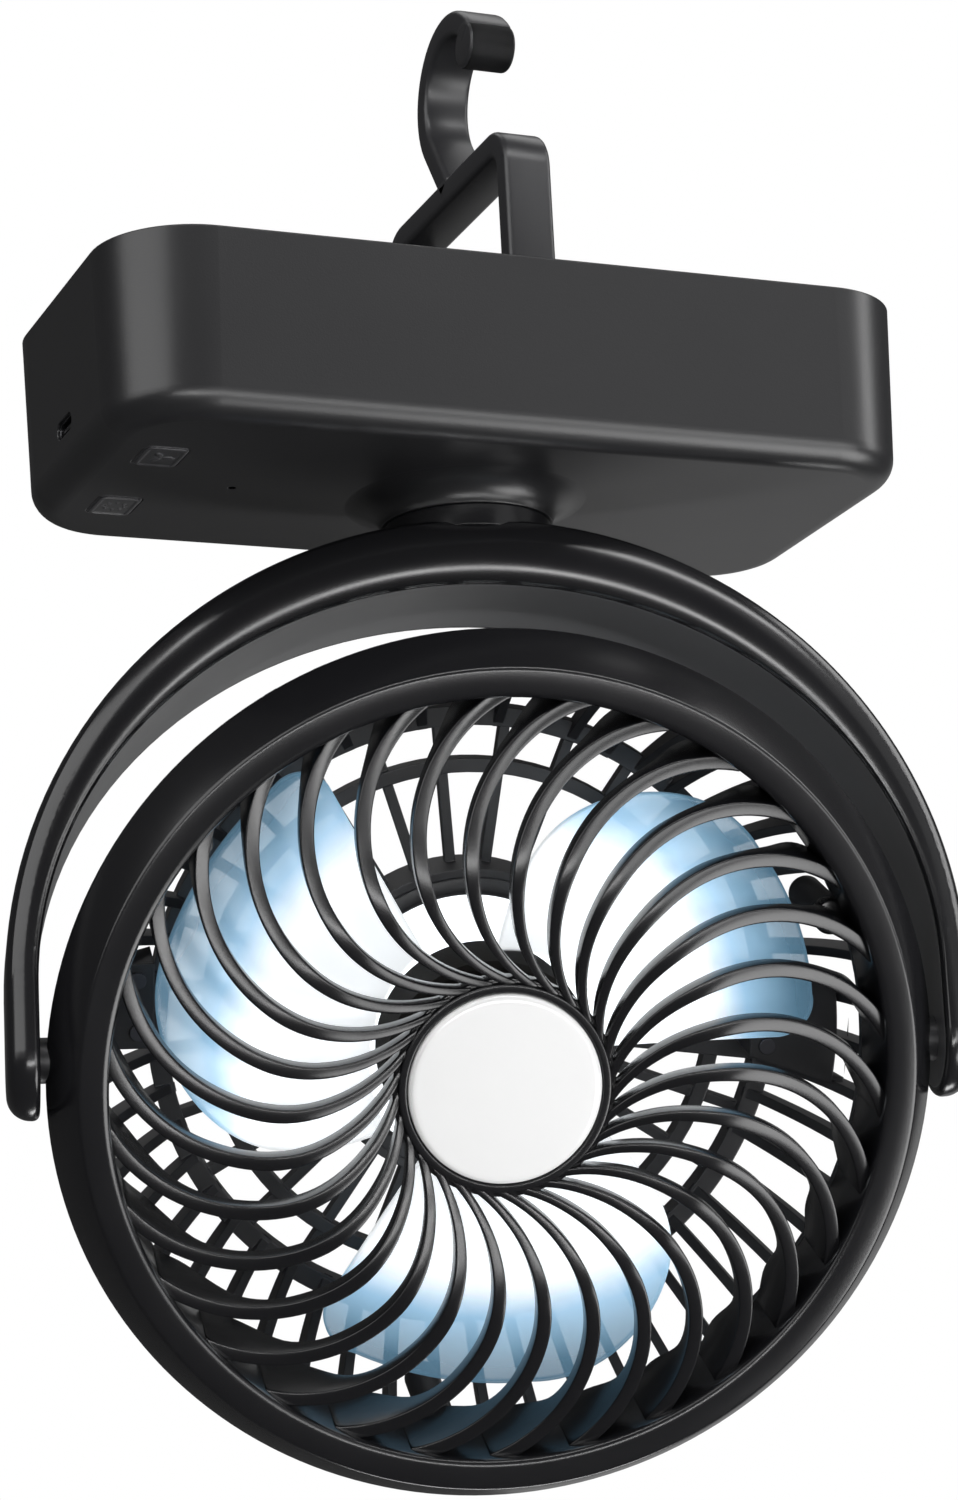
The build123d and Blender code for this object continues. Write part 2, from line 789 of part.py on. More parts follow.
def tilt_pin(end, name):
    """Hollow flanged pin, its flange behind the liner and its shank between the head's halves."""
    with BuildPart() as pin:
        with BuildSketch(pin_line.offset(end * pin_end)):
            Circle(pin_radius)
        extrude(amount=end * (pin_head - pin_end))
        with BuildSketch(pin_line.offset(end * pin_head)):
            Circle(pin_flange_radius)
        extrude(amount=end * pin_flange)
        with BuildSketch(pin_line.offset(end * pin_end)):
            Circle(pin_bore)
        extrude(amount=end * arch_span, mode=Mode.SUBTRACT)
    write(pin, name)


tilt_pin(-1, "tilt_pin_left")
tilt_pin(1, "tilt_pin_right")

with BuildPart() as pin_bores:
    # Room for both pins in the head's own axes
    with BuildSketch(Plane.YZ):
        with Locations((pivot_above, -pivot_behind)):
            Circle(pin_radius + fit_gap)
    extrude(amount=arch_span, both=True)
    with BuildSketch(Plane.YZ):
        with Locations((pivot_above, -pivot_behind)):
            Circle(pin_radius + fit_gap)
    extrude(amount=pin_end - fit_gap, both=True, mode=Mode.SUBTRACT)

# ------------------------------------------------------------------ front grille

shroud_outer = lip_radius + shroud_wall
saddle_half = pin_radius + saddle_wall
saddle_top = -pivot_behind + saddle_half
saddle_reach = housing_radius - 1

with BuildPart() as grille_rib:
    # One curved rib in the head's own axes, as high as the dome of the grille there
    with BuildSketch(Plane.XY.offset(shroud_back)):
        with BuildLine():
            rib_center = polar(rib_circle, rib_phase)
            rib_outer = CenterArc(rib_center, rib_radius + rib_thickness / 2, rib_phase + 39, 134)
            rib_inner = CenterArc(rib_center, rib_radius - rib_thickness / 2, rib_phase + 39, 134)
            Line(rib_outer @ 0, rib_inner @ 0)
            Line(rib_outer @ 1, rib_inner @ 1)
        make_face()
    extrude(amount=bezel_face - 3 * shroud_back)
    with BuildSketch(Plane.XZ):
        with BuildLine():
            dome = Spline((hub_rim_radius - 1, 12.9), (26, 16.0), (38, 18.3), (50, 15.5), (lip_radius + 1, 9.2))
            under = Spline((hub_rim_radius - 1, 9.4), (26, 12.2), (38, 14.3), (50, 11.3), (60, 6.5))
            gusset = Line(under @ 1, (lip_radius - 2, shroud_back + 1))
            Polyline(gusset @ 1, (lip_radius + 1, shroud_back + 1), dome @ 1)
            Line(dome @ 0, under @ 0)
        make_face()
    revolve(axis=Axis.Z, mode=Mode.INTERSECT)

with BuildPart(HEAD) as front_grille:
    with BuildSketch(section(HEAD)) as bezel:
        with BuildLine():
            Polyline(
                (bezel_radius - 0.3, bezel_back),
                (bezel_radius, bezel_widest),
                (bezel_face_radius, bezel_face),
                (lip_radius + 0.8, bezel_face),
                (lip_radius, bezel_face - 1),
                (lip_radius, shroud_back),
                (shroud_outer, shroud_back),
                (shroud_outer, bezel_face - bezel_wall),
                (bezel_face_radius - 1.2, bezel_face - bezel_wall),
                (bezel_radius - bezel_wall, bezel_widest),
                (bezel_radius - bezel_wall, bezel_back),
                close=True,
            )
        make_face()
        fillet(bezel.vertices().sort_by_distance((bezel_face_radius, bezel_face))[0], 1.2)
    revolve(axis=axis_of(HEAD))
    # Hub: a shallow cup for the cap, with a lower step that the ribs run into
    with BuildSketch(section(HEAD)):
        with BuildLine():
            Polyline(
                (cap_stud + fit_gap, hub_back),
                (collar_step_radius, hub_back),
                (collar_step_radius, hub_rim_top - 1),
                (hub_rim_radius, hub_rim_top - 1),
                (hub_rim_radius, hub_rim_top),
                (cap_radius + lid_gap, hub_rim_top),
                (cap_radius + lid_gap, hub_back + hub_floor),
                (cap_stud + fit_gap, hub_back + hub_floor),
                close=True,
            )
        make_face()
    revolve(axis=axis_of(HEAD))
    with PolarLocations(0, rib_count):
        add(grille_rib.part)
    # Bosses for the screws from the rear housing, and saddles over the tilt pins
    with BuildSketch(HEAD.offset(shroud_back)):
        for angle in post_angles:
            with Locations(polar(post_circle, angle)):
                Circle(post_radius)
    extrude(amount=boss_top - shroud_back)
    with BuildSketch(HEAD.offset(shroud_back)):
        for angle in post_angles:
            with Locations(polar(post_circle, angle)):
                Circle(housing_screw_radius + fit_gap)
    extrude(amount=housing_screw_tip + fit_gap - shroud_back, mode=Mode.SUBTRACT)
    with BuildSketch(HEAD.offset(bezel_back)):
        for end in (-1, 1):
            with Locations((end * (shroud_outer + saddle_reach) / 2, pivot_above)):
                Rectangle(saddle_reach - shroud_outer + 1, 2 * saddle_half)
    extrude(amount=saddle_top - bezel_back)
    add(pin_bores.part, mode=Mode.SUBTRACT)
write(front_grille, "front_grille")

with BuildPart(HEAD) as hub_cap:
    with BuildSketch(HEAD.offset(hub_back + hub_floor)):
        Circle(cap_radius)
    extrude(amount=cap_top - hub_back - hub_floor)
    chamfer(hub_cap.faces().sort_by(axis_of(HEAD))[-1].edges(), cap_bevel)
    # Stud through the floor of the hub
    with BuildSketch(HEAD.offset(hub_back)):
        Circle(cap_stud)
    extrude(amount=hub_floor)
write(hub_cap, "hub_cap")

# ------------------------------------------------------------------ rear housing

housing_front = bezel_back - fit_gap
floor_front = shroud_back - fit_gap
floor_back = housing_back - 0.6
duct_seat = duct_front - duct_lid
duct_right = ((50.5, 9.6), (50.5, -4.6), (70.0, -11.6), (71.0, 8.6))
duct_left = ((-58.3, 15.3), (-70.0, 15.3), (-71.0, -0.3), (-58.3, -0.3))
duct_screws_right = ((53.5, 6.6), (53.5, -2.6))
duct_screws_left = ((-61.3, 12.3), (-61.3, 2.7))

with BuildPart() as guard_bar:
    # One outer bar of the guard, curving in from the floor of the housing to the first ring
    with BuildSketch(Plane.XZ):
        with BuildLine():
            bar_back = ThreePointArc((housing_back_radius, -9.2), (69.0, -26.5), (57.0, -40.3))
            bar_front = ThreePointArc((housing_back_radius - guard_bar_depth, -9.2), (65.4, -24.6), (54.8, -36.9))
            Line(bar_back @ 0, bar_front @ 0)
            Line(bar_back @ 1, bar_front @ 1)
        make_face()
    extrude(amount=guard_bar_width / 2, both=True)

with BuildPart() as housing_rib:
    # One shallow grip rib on the wall of the housing
    with BuildSketch(Plane.XZ):
        with BuildLine():
            Polyline(
                (housing_radius - 1, housing_front),
                (housing_radius + housing_rib_proud, housing_front),
                (housing_back_radius + housing_rib_proud, floor_back),
                (housing_back_radius - 1, floor_back),
                close=True,
            )
        make_face()
    extrude(amount=housing_rib_width / 2, both=True)

with BuildPart() as mid_bar:
    # One inner bar of the guard, from the first ring to the motor drum
    with BuildSketch(Plane.XY.offset(guard_back)):
        with Locations(((drum_radius + ring_a_inner) / 2, 0)):
            Rectangle(ring_a_inner - drum_radius + 2, mid_bar_width)
    extrude(amount=mid_bar_depth)

with BuildPart() as guard_bowl:
    # The room within the curve of the outer bars, to the middle of their depth
    with BuildSketch(Plane.XZ):
        with BuildLine():
            bowl_curve = ThreePointArc((housing_back_radius - 2, -9.5), (67.2, -25.5), (55.9, -38.6))
            Polyline(bowl_curve @ 1, (0, -38.6), (0, -9.5), bowl_curve @ 0)
        make_face()
    revolve(axis=Axis.Z)


def duct_tower(corners):
    """Hollow tower of a cable duct, from its lid down to the bars of the guard."""
    with BuildPart() as tower:
        with BuildSketch(Plane.XY.offset(duct_seat)):
            Polygon(*corners, align=None)
        extrude(amount=guard_back - duct_seat)
        with BuildSketch(Plane.XY.offset(duct_seat)):
            Polygon(*corners, align=None)
            offset(amount=-duct_wall)
        extrude(amount=-duct_screw_length, mode=Mode.SUBTRACT)
        add(guard_bowl.part, mode=Mode.INTERSECT)
    return tower.part


with BuildPart(HEAD) as rear_housing:
    # Wall and floor
    with BuildSketch(section(HEAD)):
        with BuildLine():
            Polyline(
                (housing_radius - housing_wall, housing_front),
                (housing_radius, housing_front),
                (housing_back_radius, floor_back),
                (lip_radius, floor_back),
                (lip_radius, floor_front),
                (housing_back_radius - housing_wall, floor_front),
                close=True,
            )
        make_face()
    revolve(axis=axis_of(HEAD))
    # Two rings of the guard
    with BuildSketch(section(HEAD)):
        with Locations(((ring_a_inner + ring_a_outer) / 2, (ring_a_front + guard_back) / 2)):
            Rectangle(ring_a_outer - ring_a_inner, ring_a_front - guard_back)
        with Locations(((ring_b_inner + ring_b_outer) / 2, guard_back + mid_bar_depth / 2 + 0.4)):
            Rectangle(ring_b_outer - ring_b_inner, mid_bar_depth + 0.8)
    revolve(axis=axis_of(HEAD))
    # Drum that carries the motor and the light
    with BuildSketch(section(HEAD)):
        with BuildLine():
            Polyline(
                (0, drum_back),
                (drum_radius - 1, drum_back),
                (drum_radius, drum_back + 1),
                (drum_radius, drum_front),
                (drum_radius - drum_wall, drum_front),
                (drum_radius - drum_wall, drum_back + drum_floor),
                (0, drum_back + drum_floor),
                close=True,
            )
        make_face()
    revolve(axis=axis_of(HEAD))
    with PolarLocations(0, housing_ribs, start_angle=guard_phase):
        add(housing_rib.part)
        add(guard_bar.part)
    with PolarLocations(0, mid_bars, start_angle=mid_bar_phase):
        add(mid_bar.part)
    with PolarLocations(0, 1, start_angle=duct_beam_angle):
        with Locations(((drum_radius + ring_a_inner) / 2, 0, guard_back + duct_beam_depth / 2)):
            Box(ring_a_inner - drum_radius + 2, duct_beam_width, duct_beam_depth)
    add(duct_tower(duct_right))
    add(duct_tower(duct_left))
    # Posts for the screws that hold the grille, saddles under the tilt pins, posts for the light
    with BuildSketch(HEAD.offset(floor_front)):
        for angle in post_angles:
            with Locations(polar(post_circle, angle)):
                Circle(post_radius)
    extrude(amount=housing_screw_seat - post_foot - floor_front)
    with BuildSketch(HEAD.offset(floor_front)):
        for end in (-1, 1):
            with Locations((end * (shroud_outer + saddle_reach) / 2, pivot_above)):
                Rectangle(saddle_reach - shroud_outer - 1, 2 * saddle_half)
    extrude(amount=housing_front - floor_front)
    with BuildSketch(HEAD.offset(drum_back + drum_floor)):
        with PolarLocations(led_standoff_circle, led_standoffs):
            Circle(led_standoff_radius)
    extrude(amount=led_board_back - drum_back - drum_floor)
    add(pin_bores.part, mode=Mode.SUBTRACT)
    # Screw holes, open to the back
    with BuildSketch(HEAD.offset(floor_front)):
        for angle in post_angles:
            with Locations(polar(post_circle, angle)):
                Circle(housing_screw_radius + fit_gap)
    extrude(amount=housing_screw_seat - floor_front, mode=Mode.SUBTRACT)
    with BuildSketch(HEAD.offset(housing_screw_seat)):
        for angle in post_angles:
            with Locations(polar(post_circle, angle)):
                Circle(housing_screw_head + fit_gap)
    extrude(amount=drum_back - housing_screw_seat, mode=Mode.SUBTRACT)
    with BuildSketch(HEAD.offset(duct_seat)):
        with Locations(*duct_screws_right, *duct_screws_left):
            Circle(duct_screw_radius + fit_gap)
    extrude(amount=duct_lid - duct_screw_length, mode=Mode.SUBTRACT)
write(rear_housing, "rear_housing")

with BuildPart(HEAD) as housing_screws:
    with BuildSketch(HEAD.offset(housing_screw_seat)):
        for angle in post_angles:
            with Locations(polar(post_circle, angle)):
                Circle(housing_screw_radius)
    extrude(amount=housing_screw_tip - housing_screw_seat)
    with BuildSketch(HEAD.offset(housing_screw_seat)):
        for angle in post_angles:
            with Locations(polar(post_circle, angle)):
                Circle(housing_screw_head)
    extrude(amount=-housing_screw_head_height)
write(housing_screws, "housing_screws")


def duct_cover(corners, screws, name):
    """Flat lid of a cable duct."""
    with BuildPart(HEAD) as cover:
        with BuildSketch(HEAD.offset(duct_seat + fit_gap)):
            Polygon(*corners, align=None)
            Circle(duct_lid_reach, mode=Mode.INTERSECT)
            with Locations(*screws):
                Circle(duct_screw_radius + fit_gap, mode=Mode.SUBTRACT)
        extrude(amount=duct_lid - fit_gap)
    write(cover, name)


duct_cover(duct_right, duct_screws_right, "duct_cover_right")
duct_cover(duct_left, duct_screws_left, "duct_cover_left")

with BuildPart(HEAD) as duct_screws:
    with BuildSketch(HEAD.offset(duct_front)):
        with Locations(*duct_screws_right, *duct_screws_left):
            Circle(duct_screw_radius)
    extrude(amount=fit_gap - duct_screw_length)
    with BuildSketch(HEAD.offset(duct_front)):
        with Locations(*duct_screws_right, *duct_screws_left):
            Circle(duct_screw_head)
    extrude(amount=duct_screw_radius)
write(duct_screws, "duct_screws")

# ------------------------------------------------------------------ motor

drum_seat = drum_back + drum_floor
bearing_bore = bearing_radius + fit_gap
rear_bearing = tube_shoulder - 2 * bearing_height

with BuildPart(HEAD) as motor_base:
    with BuildSketch(section(HEAD)):
        with BuildLine():
            Polyline(
                (bearing_bore, drum_seat),
                (tube_flange_radius, drum_seat),
                (tube_flange_radius, drum_seat + tube_flange),
                (tube_radius, drum_seat + tube_flange),
                (tube_radius, tube_shoulder),
                (tube_neck_radius, tube_shoulder),
                (tube_neck_radius, tube_top),
                (bearing_bore, tube_top),
                (bearing_bore, tube_top - bearing_height),
                (2 * shaft_radius, tube_top - bearing_height),
                (2 * shaft_radius, rear_bearing),
                (bearing_bore, rear_bearing),
                close=True,
            )
        make_face()
    revolve(axis=axis_of(HEAD))
write(motor_base, "motor_base")

with BuildPart(HEAD) as motor_bearings:
    for bearing_front in (tube_top, rear_bearing):
        with BuildSketch(HEAD.offset(bearing_front)):
            Circle(bearing_radius)
            Circle(shaft_radius + run_gap, mode=Mode.SUBTRACT)
        extrude(amount=-bearing_height + fit_gap)
write(motor_bearings, "motor_bearings")

with BuildPart(HEAD) as motor_stator:
    with BuildSketch(HEAD.offset(stator_back)):
        Circle(stator_hub)
        with PolarLocations(0, stator_poles):
            with Locations(((stator_hub + stator_radius) / 2, 0)):
                Rectangle(stator_radius - stator_hub + 1, pole_width)
            with Locations((stator_radius - pole_tip / 2, 0)):
                Rectangle(pole_tip, pole_tip_width)
        Circle(tube_neck_radius + fit_gap, mode=Mode.SUBTRACT)
    extrude(amount=stator_front - stator_back)
write(motor_stator, "motor_stator")

# ------------------------------------------------------------------ light

led_outer = drum_radius - drum_wall - led_ring_gap
led_board_front = led_board_back + led_board_thickness

with BuildPart(HEAD) as led_board:
    with BuildSketch(HEAD.offset(led_board_back)):
        Circle(led_outer)
        Circle(led_ring_inner, mode=Mode.SUBTRACT)
    extrude(amount=led_board_thickness)
    with BuildSketch(HEAD.offset(led_board_front)):
        with PolarLocations(led_circle, led_count):
            Rectangle(led_size, led_size)
    extrude(amount=led_height)
write(led_board, "led_board")

with BuildPart(HEAD) as led_lens:
    with BuildSketch(HEAD.offset(led_lens_front - led_lens_thickness)):
        Circle(led_outer)
        Circle(led_ring_inner, mode=Mode.SUBTRACT)
    extrude(amount=led_lens_thickness)
    # Skirt that stands on the board
    with BuildSketch(HEAD.offset(led_board_front)):
        Circle(led_outer)
        Circle(led_outer - led_lens_thickness, mode=Mode.SUBTRACT)
    extrude(amount=led_lens_front - led_board_front)
write(led_lens, "led_lens")

# ------------------------------------------------------------------ rotor

magnet_outer = hub_radius - hub_wall - fit_gap
sleeve_inner = hub_radius + fit_gap
sleeve_outer = sleeve_inner + sleeve_wall
boss_back = tube_top + slide_gap
shaft_front = hub_front - hub_wall / 3
hub_inside = hub_front - hub_wall

with BuildPart(HEAD) as rotor_hub:
    with BuildSketch(section(HEAD)):
        with BuildLine():
            Polyline(
                (0, hub_front),
                (hub_radius - 1, hub_front),
                (hub_radius, hub_front - 1),
                (hub_radius, hub_back_edge),
                (hub_radius - hub_wall, hub_back_edge),
                (hub_radius - hub_wall, hub_inside),
                (tube_neck_radius, hub_inside),
                (tube_neck_radius, boss_back),
                (shaft_radius + fit_gap, boss_back),
                (shaft_radius + fit_gap, shaft_front),
                (0, shaft_front),
                close=True,
            )
        make_face()
    revolve(axis=axis_of(HEAD))
write(rotor_hub, "rotor_hub")

with BuildPart(HEAD) as magnet_ring:
    with BuildSketch(HEAD.offset(hub_back_edge + slide_gap)):
        Circle(magnet_outer)
        Circle(magnet_outer - magnet_thickness, mode=Mode.SUBTRACT)
    extrude(amount=hub_inside - hub_back_edge - 3 * slide_gap)
write(magnet_ring, "magnet_ring")

with BuildPart(HEAD) as motor_shaft:
    with BuildSketch(HEAD.offset(shaft_front - fit_gap)):
        Circle(shaft_radius)
    extrude(amount=rear_bearing - bearing_height - 1 - shaft_front)
write(motor_shaft, "motor_shaft")

with BuildPart() as blade:
    # One blade about the radius through its middle: a twisted, cambered sheet
    for station, pitch in ((13.0, 24.0), (38.0, 16.0), (64.0, 12.0)):
        with BuildSketch(Plane(origin=(station, 0, 0), x_dir=(0, 1, 0), z_dir=(1, 0, 0))):
            with BuildLine():
                half_chord = 0.7 * blade_tip
                drop = half_chord * math.tan(math.radians(pitch))
                face = ThreePointArc(
                    (-half_chord, blade_mid - drop), (0, blade_mid + blade_camber), (half_chord, blade_mid + drop)
                )
                back = ThreePointArc(
                    (-half_chord, blade_mid - drop - blade_thickness),
                    (0, blade_mid + blade_camber - blade_thickness),
                    (half_chord, blade_mid + drop - blade_thickness),
                )
                Line(face @ 0, back @ 0)
                Line(face @ 1, back @ 1)
            make_face()
    loft()
    # Outline of the blade as seen from the front
    with BuildSketch(Plane.XY.offset(drum_front)):
        with BuildLine():
            lead = Line(polar(sleeve_inner + 0.4, -39), polar(55.0, -40))
            corner = ThreePointArc(lead @ 1, polar(59.6, -37.5), polar(blade_tip, -32))
            tip = ThreePointArc(corner @ 1, polar(blade_tip, -16), polar(blade_tip, -2))
            trail = Spline(tip @ 1, polar(56.5, 19), polar(44.7, 36), polar(29, 46), polar(sleeve_inner + 0.4, 50))
            Line(trail @ 1, lead @ 0)
        make_face()
        Circle(sleeve_inner + 0.3, mode=Mode.SUBTRACT)
    extrude(amount=-2 * drum_front, mode=Mode.INTERSECT)

with BuildPart(HEAD) as impeller:
    with BuildSketch(HEAD.offset(hub_back_edge)):
        Circle(sleeve_outer)
        Circle(sleeve_inner, mode=Mode.SUBTRACT)
    extrude(amount=hub_front - 1 - hub_back_edge)
    with PolarLocations(0, blade_count, start_angle=blade_phase):
        add(blade.part)
write(impeller, "impeller")
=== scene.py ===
import math

import bpy
from mathutils import Matrix, Vector


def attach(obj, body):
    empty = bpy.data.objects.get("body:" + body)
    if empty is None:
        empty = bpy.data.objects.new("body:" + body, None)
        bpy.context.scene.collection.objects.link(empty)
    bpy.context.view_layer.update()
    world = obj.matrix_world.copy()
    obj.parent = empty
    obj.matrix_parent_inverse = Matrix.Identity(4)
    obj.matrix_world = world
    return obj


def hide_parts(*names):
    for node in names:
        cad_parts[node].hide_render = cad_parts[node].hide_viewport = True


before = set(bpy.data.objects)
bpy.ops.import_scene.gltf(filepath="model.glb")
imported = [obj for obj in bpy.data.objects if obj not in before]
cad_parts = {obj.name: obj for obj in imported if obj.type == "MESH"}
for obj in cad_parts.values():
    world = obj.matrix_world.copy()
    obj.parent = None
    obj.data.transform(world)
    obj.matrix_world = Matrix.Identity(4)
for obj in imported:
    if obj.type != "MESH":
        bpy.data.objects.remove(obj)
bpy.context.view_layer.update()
scene = bpy.context.scene

# ------------------------------------------------------------------ camera
# A long lens a little below the fan, looking up at its underside and at the face of the head.

LENS = 96.33
camera_data = bpy.data.cameras.new("camera")
camera_data.lens = LENS
camera_data.sensor_width = 36
camera = bpy.data.objects.new("camera", camera_data)
scene.collection.objects.link(camera)
camera.matrix_world = Matrix((
    (0.92816, -0.04726, -0.36917, -0.2688),
    (-0.36892, -0.24787, -0.89580, -0.6415),
    (-0.04917, 0.96764, -0.24749, -0.3143),
    (0, 0, 0, 1),
))
scene.camera = camera

# ------------------------------------------------------------------ studio
# Pale floor and white surroundings, and soft boxes that draw long soft highlights on black plastic.

scene.view_settings.view_transform = "Standard"


def new_node(tree, kind, inputs=None, **settings):
    """A shader node with its settings and the default values of its inputs."""
    made = tree.nodes.new(kind)
    for key, value in settings.items():
        setattr(made, key, value)
    for key, value in (inputs or {}).items():
        made.inputs[key].default_value = value
    return made


AMBIENT = 0.06
GLOSSY_ROOM = 0.03
world = bpy.data.worlds.new("studio")
scene.world = world
world.use_nodes = True
room = world.node_tree
room.nodes.clear()
rays = new_node(room, "ShaderNodeLightPath")
seen = new_node(room, "ShaderNodeMath", operation="MAXIMUM")
room.links.new(rays.outputs["Is Camera Ray"], seen.inputs[0])
room.links.new(rays.outputs["Is Transmission Ray"], seen.inputs[1])
shine = new_node(room, "ShaderNodeMath", {1: GLOSSY_ROOM}, operation="MULTIPLY")
room.links.new(rays.outputs["Is Glossy Ray"], shine.inputs[0])
either = new_node(room, "ShaderNodeMath", operation="MAXIMUM")
room.links.new(seen.outputs[0], either.inputs[0])
room.links.new(shine.outputs[0], either.inputs[1])
level = new_node(room, "ShaderNodeMath", {1: AMBIENT}, operation="MAXIMUM")
room.links.new(either.outputs[0], level.inputs[0])
backdrop = new_node(room, "ShaderNodeBackground", {"Color": (1, 1, 1, 1)})
room.links.new(level.outputs[0], backdrop.inputs["Strength"])
sky = new_node(room, "ShaderNodeOutputWorld")
room.links.new(backdrop.outputs[0], sky.inputs["Surface"])

MIDDLE = Vector((0, 0, -0.14))


def soft_box(name, place, width, height, power, target=MIDDLE):
    """A rectangular lamp at a place, turned to a target."""
    lamp = bpy.data.lights.new(name, "AREA")
    lamp.shape = "RECTANGLE"
    lamp.size = width
    lamp.size_y = height
    lamp.energy = power
    made = bpy.data.objects.new(name, lamp)
    scene.collection.objects.link(made)
    made.location = place
    made.rotation_euler = (Vector(target) - Vector(place)).to_track_quat("-Z", "Y").to_euler()
    return made


soft_box("box_left", (-1.16, -0.42, 0.36), 1.3, 1.0, 9.5)
soft_box("box_face", (0.66, -1.02, 0.38), 0.75, 0.8, 0.9)
soft_box("box_brow", (-0.02, -0.93, 0.80), 1.6, 0.18, 8.5)
soft_box("box_middle", (0.50, -1.05, -0.35), 0.75, 0.30, 3.0)
soft_box("box_arch", (-0.35, -1.35, -0.55), 1.2, 0.15, 7.5)
soft_box("box_low", (0.68, -0.55, -0.80), 0.9, 0.55, 8.5)
soft_box("box_right", (0.98, -0.40, 0.30), 0.30, 1.1, 5.0)
soft_box("box_behind", (0.85, 1.05, -0.28), 0.8, 1.1, 0.9)
soft_box("box_under", (0.27, 0.50, -0.98), 0.6, 0.2, 3.0)
soft_box("box_top", (0.2, 0.5, 1.3), 1.6, 0.7, 6.0)

FLOOR_HEIGHT = -1.1
FLOOR_PALENESS = 0.82
bpy.ops.object.select_all(action="DESELECT")
bpy.ops.mesh.primitive_plane_add(size=8, location=(0, 0, FLOOR_HEIGHT))
floor = bpy.context.object
floor.name = "floor"
floor_paint = bpy.data.materials.new("pale_floor")
floor_paint.use_nodes = True
paint = floor_paint.node_tree
floor_skin = paint.nodes["Principled BSDF"]
floor_skin.inputs["Base Color"].default_value = (0.9, 0.9, 0.9, 1)
floor_skin.inputs["Roughness"].default_value = 0.7
# The camera sees the floor as pale as its surroundings, and it throws no light on the fan
floor_skin.inputs["Emission Color"].default_value = (1, 1, 1, 1)
floor_rays = new_node(paint, "ShaderNodeLightPath")
floor_glow = new_node(paint, "ShaderNodeMath", {1: FLOOR_PALENESS}, operation="MULTIPLY")
paint.links.new(floor_rays.outputs["Is Camera Ray"], floor_glow.inputs[0])
paint.links.new(floor_glow.outputs[0], floor_skin.inputs["Emission Strength"])
# Seen from below, the floor is clear, so that it never hides the fan
under = new_node(paint, "ShaderNodeNewGeometry")
clear = new_node(paint, "ShaderNodeBsdfTransparent")
either_side = new_node(paint, "ShaderNodeMixShader")
paint.links.new(under.outputs["Backfacing"], either_side.inputs[0])
paint.links.new(floor_skin.outputs[0], either_side.inputs[1])
paint.links.new(clear.outputs[0], either_side.inputs[2])
paint.links.new(either_side.outputs[0], paint.nodes["Material Output"].inputs["Surface"])
floor.data.materials.append(floor_paint)
floor.visible_glossy = False

# ------------------------------------------------------------------ base case
# Shallow box with leaning walls and a flared bearing neck, injection moulded in black ABS with a
# fine spark-eroded grain that is worn a little smoother along the edges, where its colour is painted lighter,
# partly as wear and partly as painted sheen.


def skin_group():
    """Moulded skin: fine grain, softened edges, a mask of the edges and a slow cloudiness."""
    group = bpy.data.node_groups.new("moulded_skin", "ShaderNodeTree")
    for name, value in (("Grain Scale", 3000.0), ("Grain Depth", 0.00002), ("Edge Radius", 0.0004)):
        group.interface.new_socket(name, in_out="INPUT", socket_type="NodeSocketFloat").default_value = value
    group.interface.new_socket("Normal", in_out="OUTPUT", socket_type="NodeSocketVector")
    for name in ("Edge", "Grain", "Cloud"):
        group.interface.new_socket(name, in_out="OUTPUT", socket_type="NodeSocketFloat")
    given = new_node(group, "NodeGroupInput")
    result = new_node(group, "NodeGroupOutput")
    place = new_node(group, "ShaderNodeTexCoord")
    grain = new_node(group, "ShaderNodeTexNoise", {"Detail": 3.0, "Roughness": 0.6})
    cloud = new_node(group, "ShaderNodeTexNoise", {"Scale": 35.0, "Detail": 4.0, "Roughness": 0.55})
    soft = new_node(group, "ShaderNodeBevel", samples=8)
    flat = new_node(group, "ShaderNodeNewGeometry")
    likeness = new_node(group, "ShaderNodeVectorMath", operation="DOT_PRODUCT")
    edge = new_node(group, "ShaderNodeMapRange", {"From Min": 0.995, "From Max": 0.8})
    bump = new_node(group, "ShaderNodeBump", {"Strength": 1.0})
    links = group.links
    links.new(place.outputs["Object"], grain.inputs["Vector"])
    links.new(given.outputs["Grain Scale"], grain.inputs["Scale"])
    links.new(place.outputs["Object"], cloud.inputs["Vector"])
    links.new(given.outputs["Edge Radius"], soft.inputs["Radius"])
    links.new(soft.outputs["Normal"], likeness.inputs[0])
    links.new(flat.outputs["Normal"], likeness.inputs[1])
    links.new(likeness.outputs["Value"], edge.inputs["Value"])
    links.new(grain.outputs["Fac"], bump.inputs["Height"])
    links.new(given.outputs["Grain Depth"], bump.inputs["Distance"])
    links.new(soft.outputs["Normal"], bump.inputs["Normal"])
    links.new(bump.outputs["Normal"], result.inputs["Normal"])
    links.new(edge.outputs["Result"], result.inputs["Edge"])
    links.new(grain.outputs["Fac"], result.inputs["Grain"])
    links.new(cloud.outputs["Fac"], result.inputs["Cloud"])
    return group


moulded_skin = skin_group()


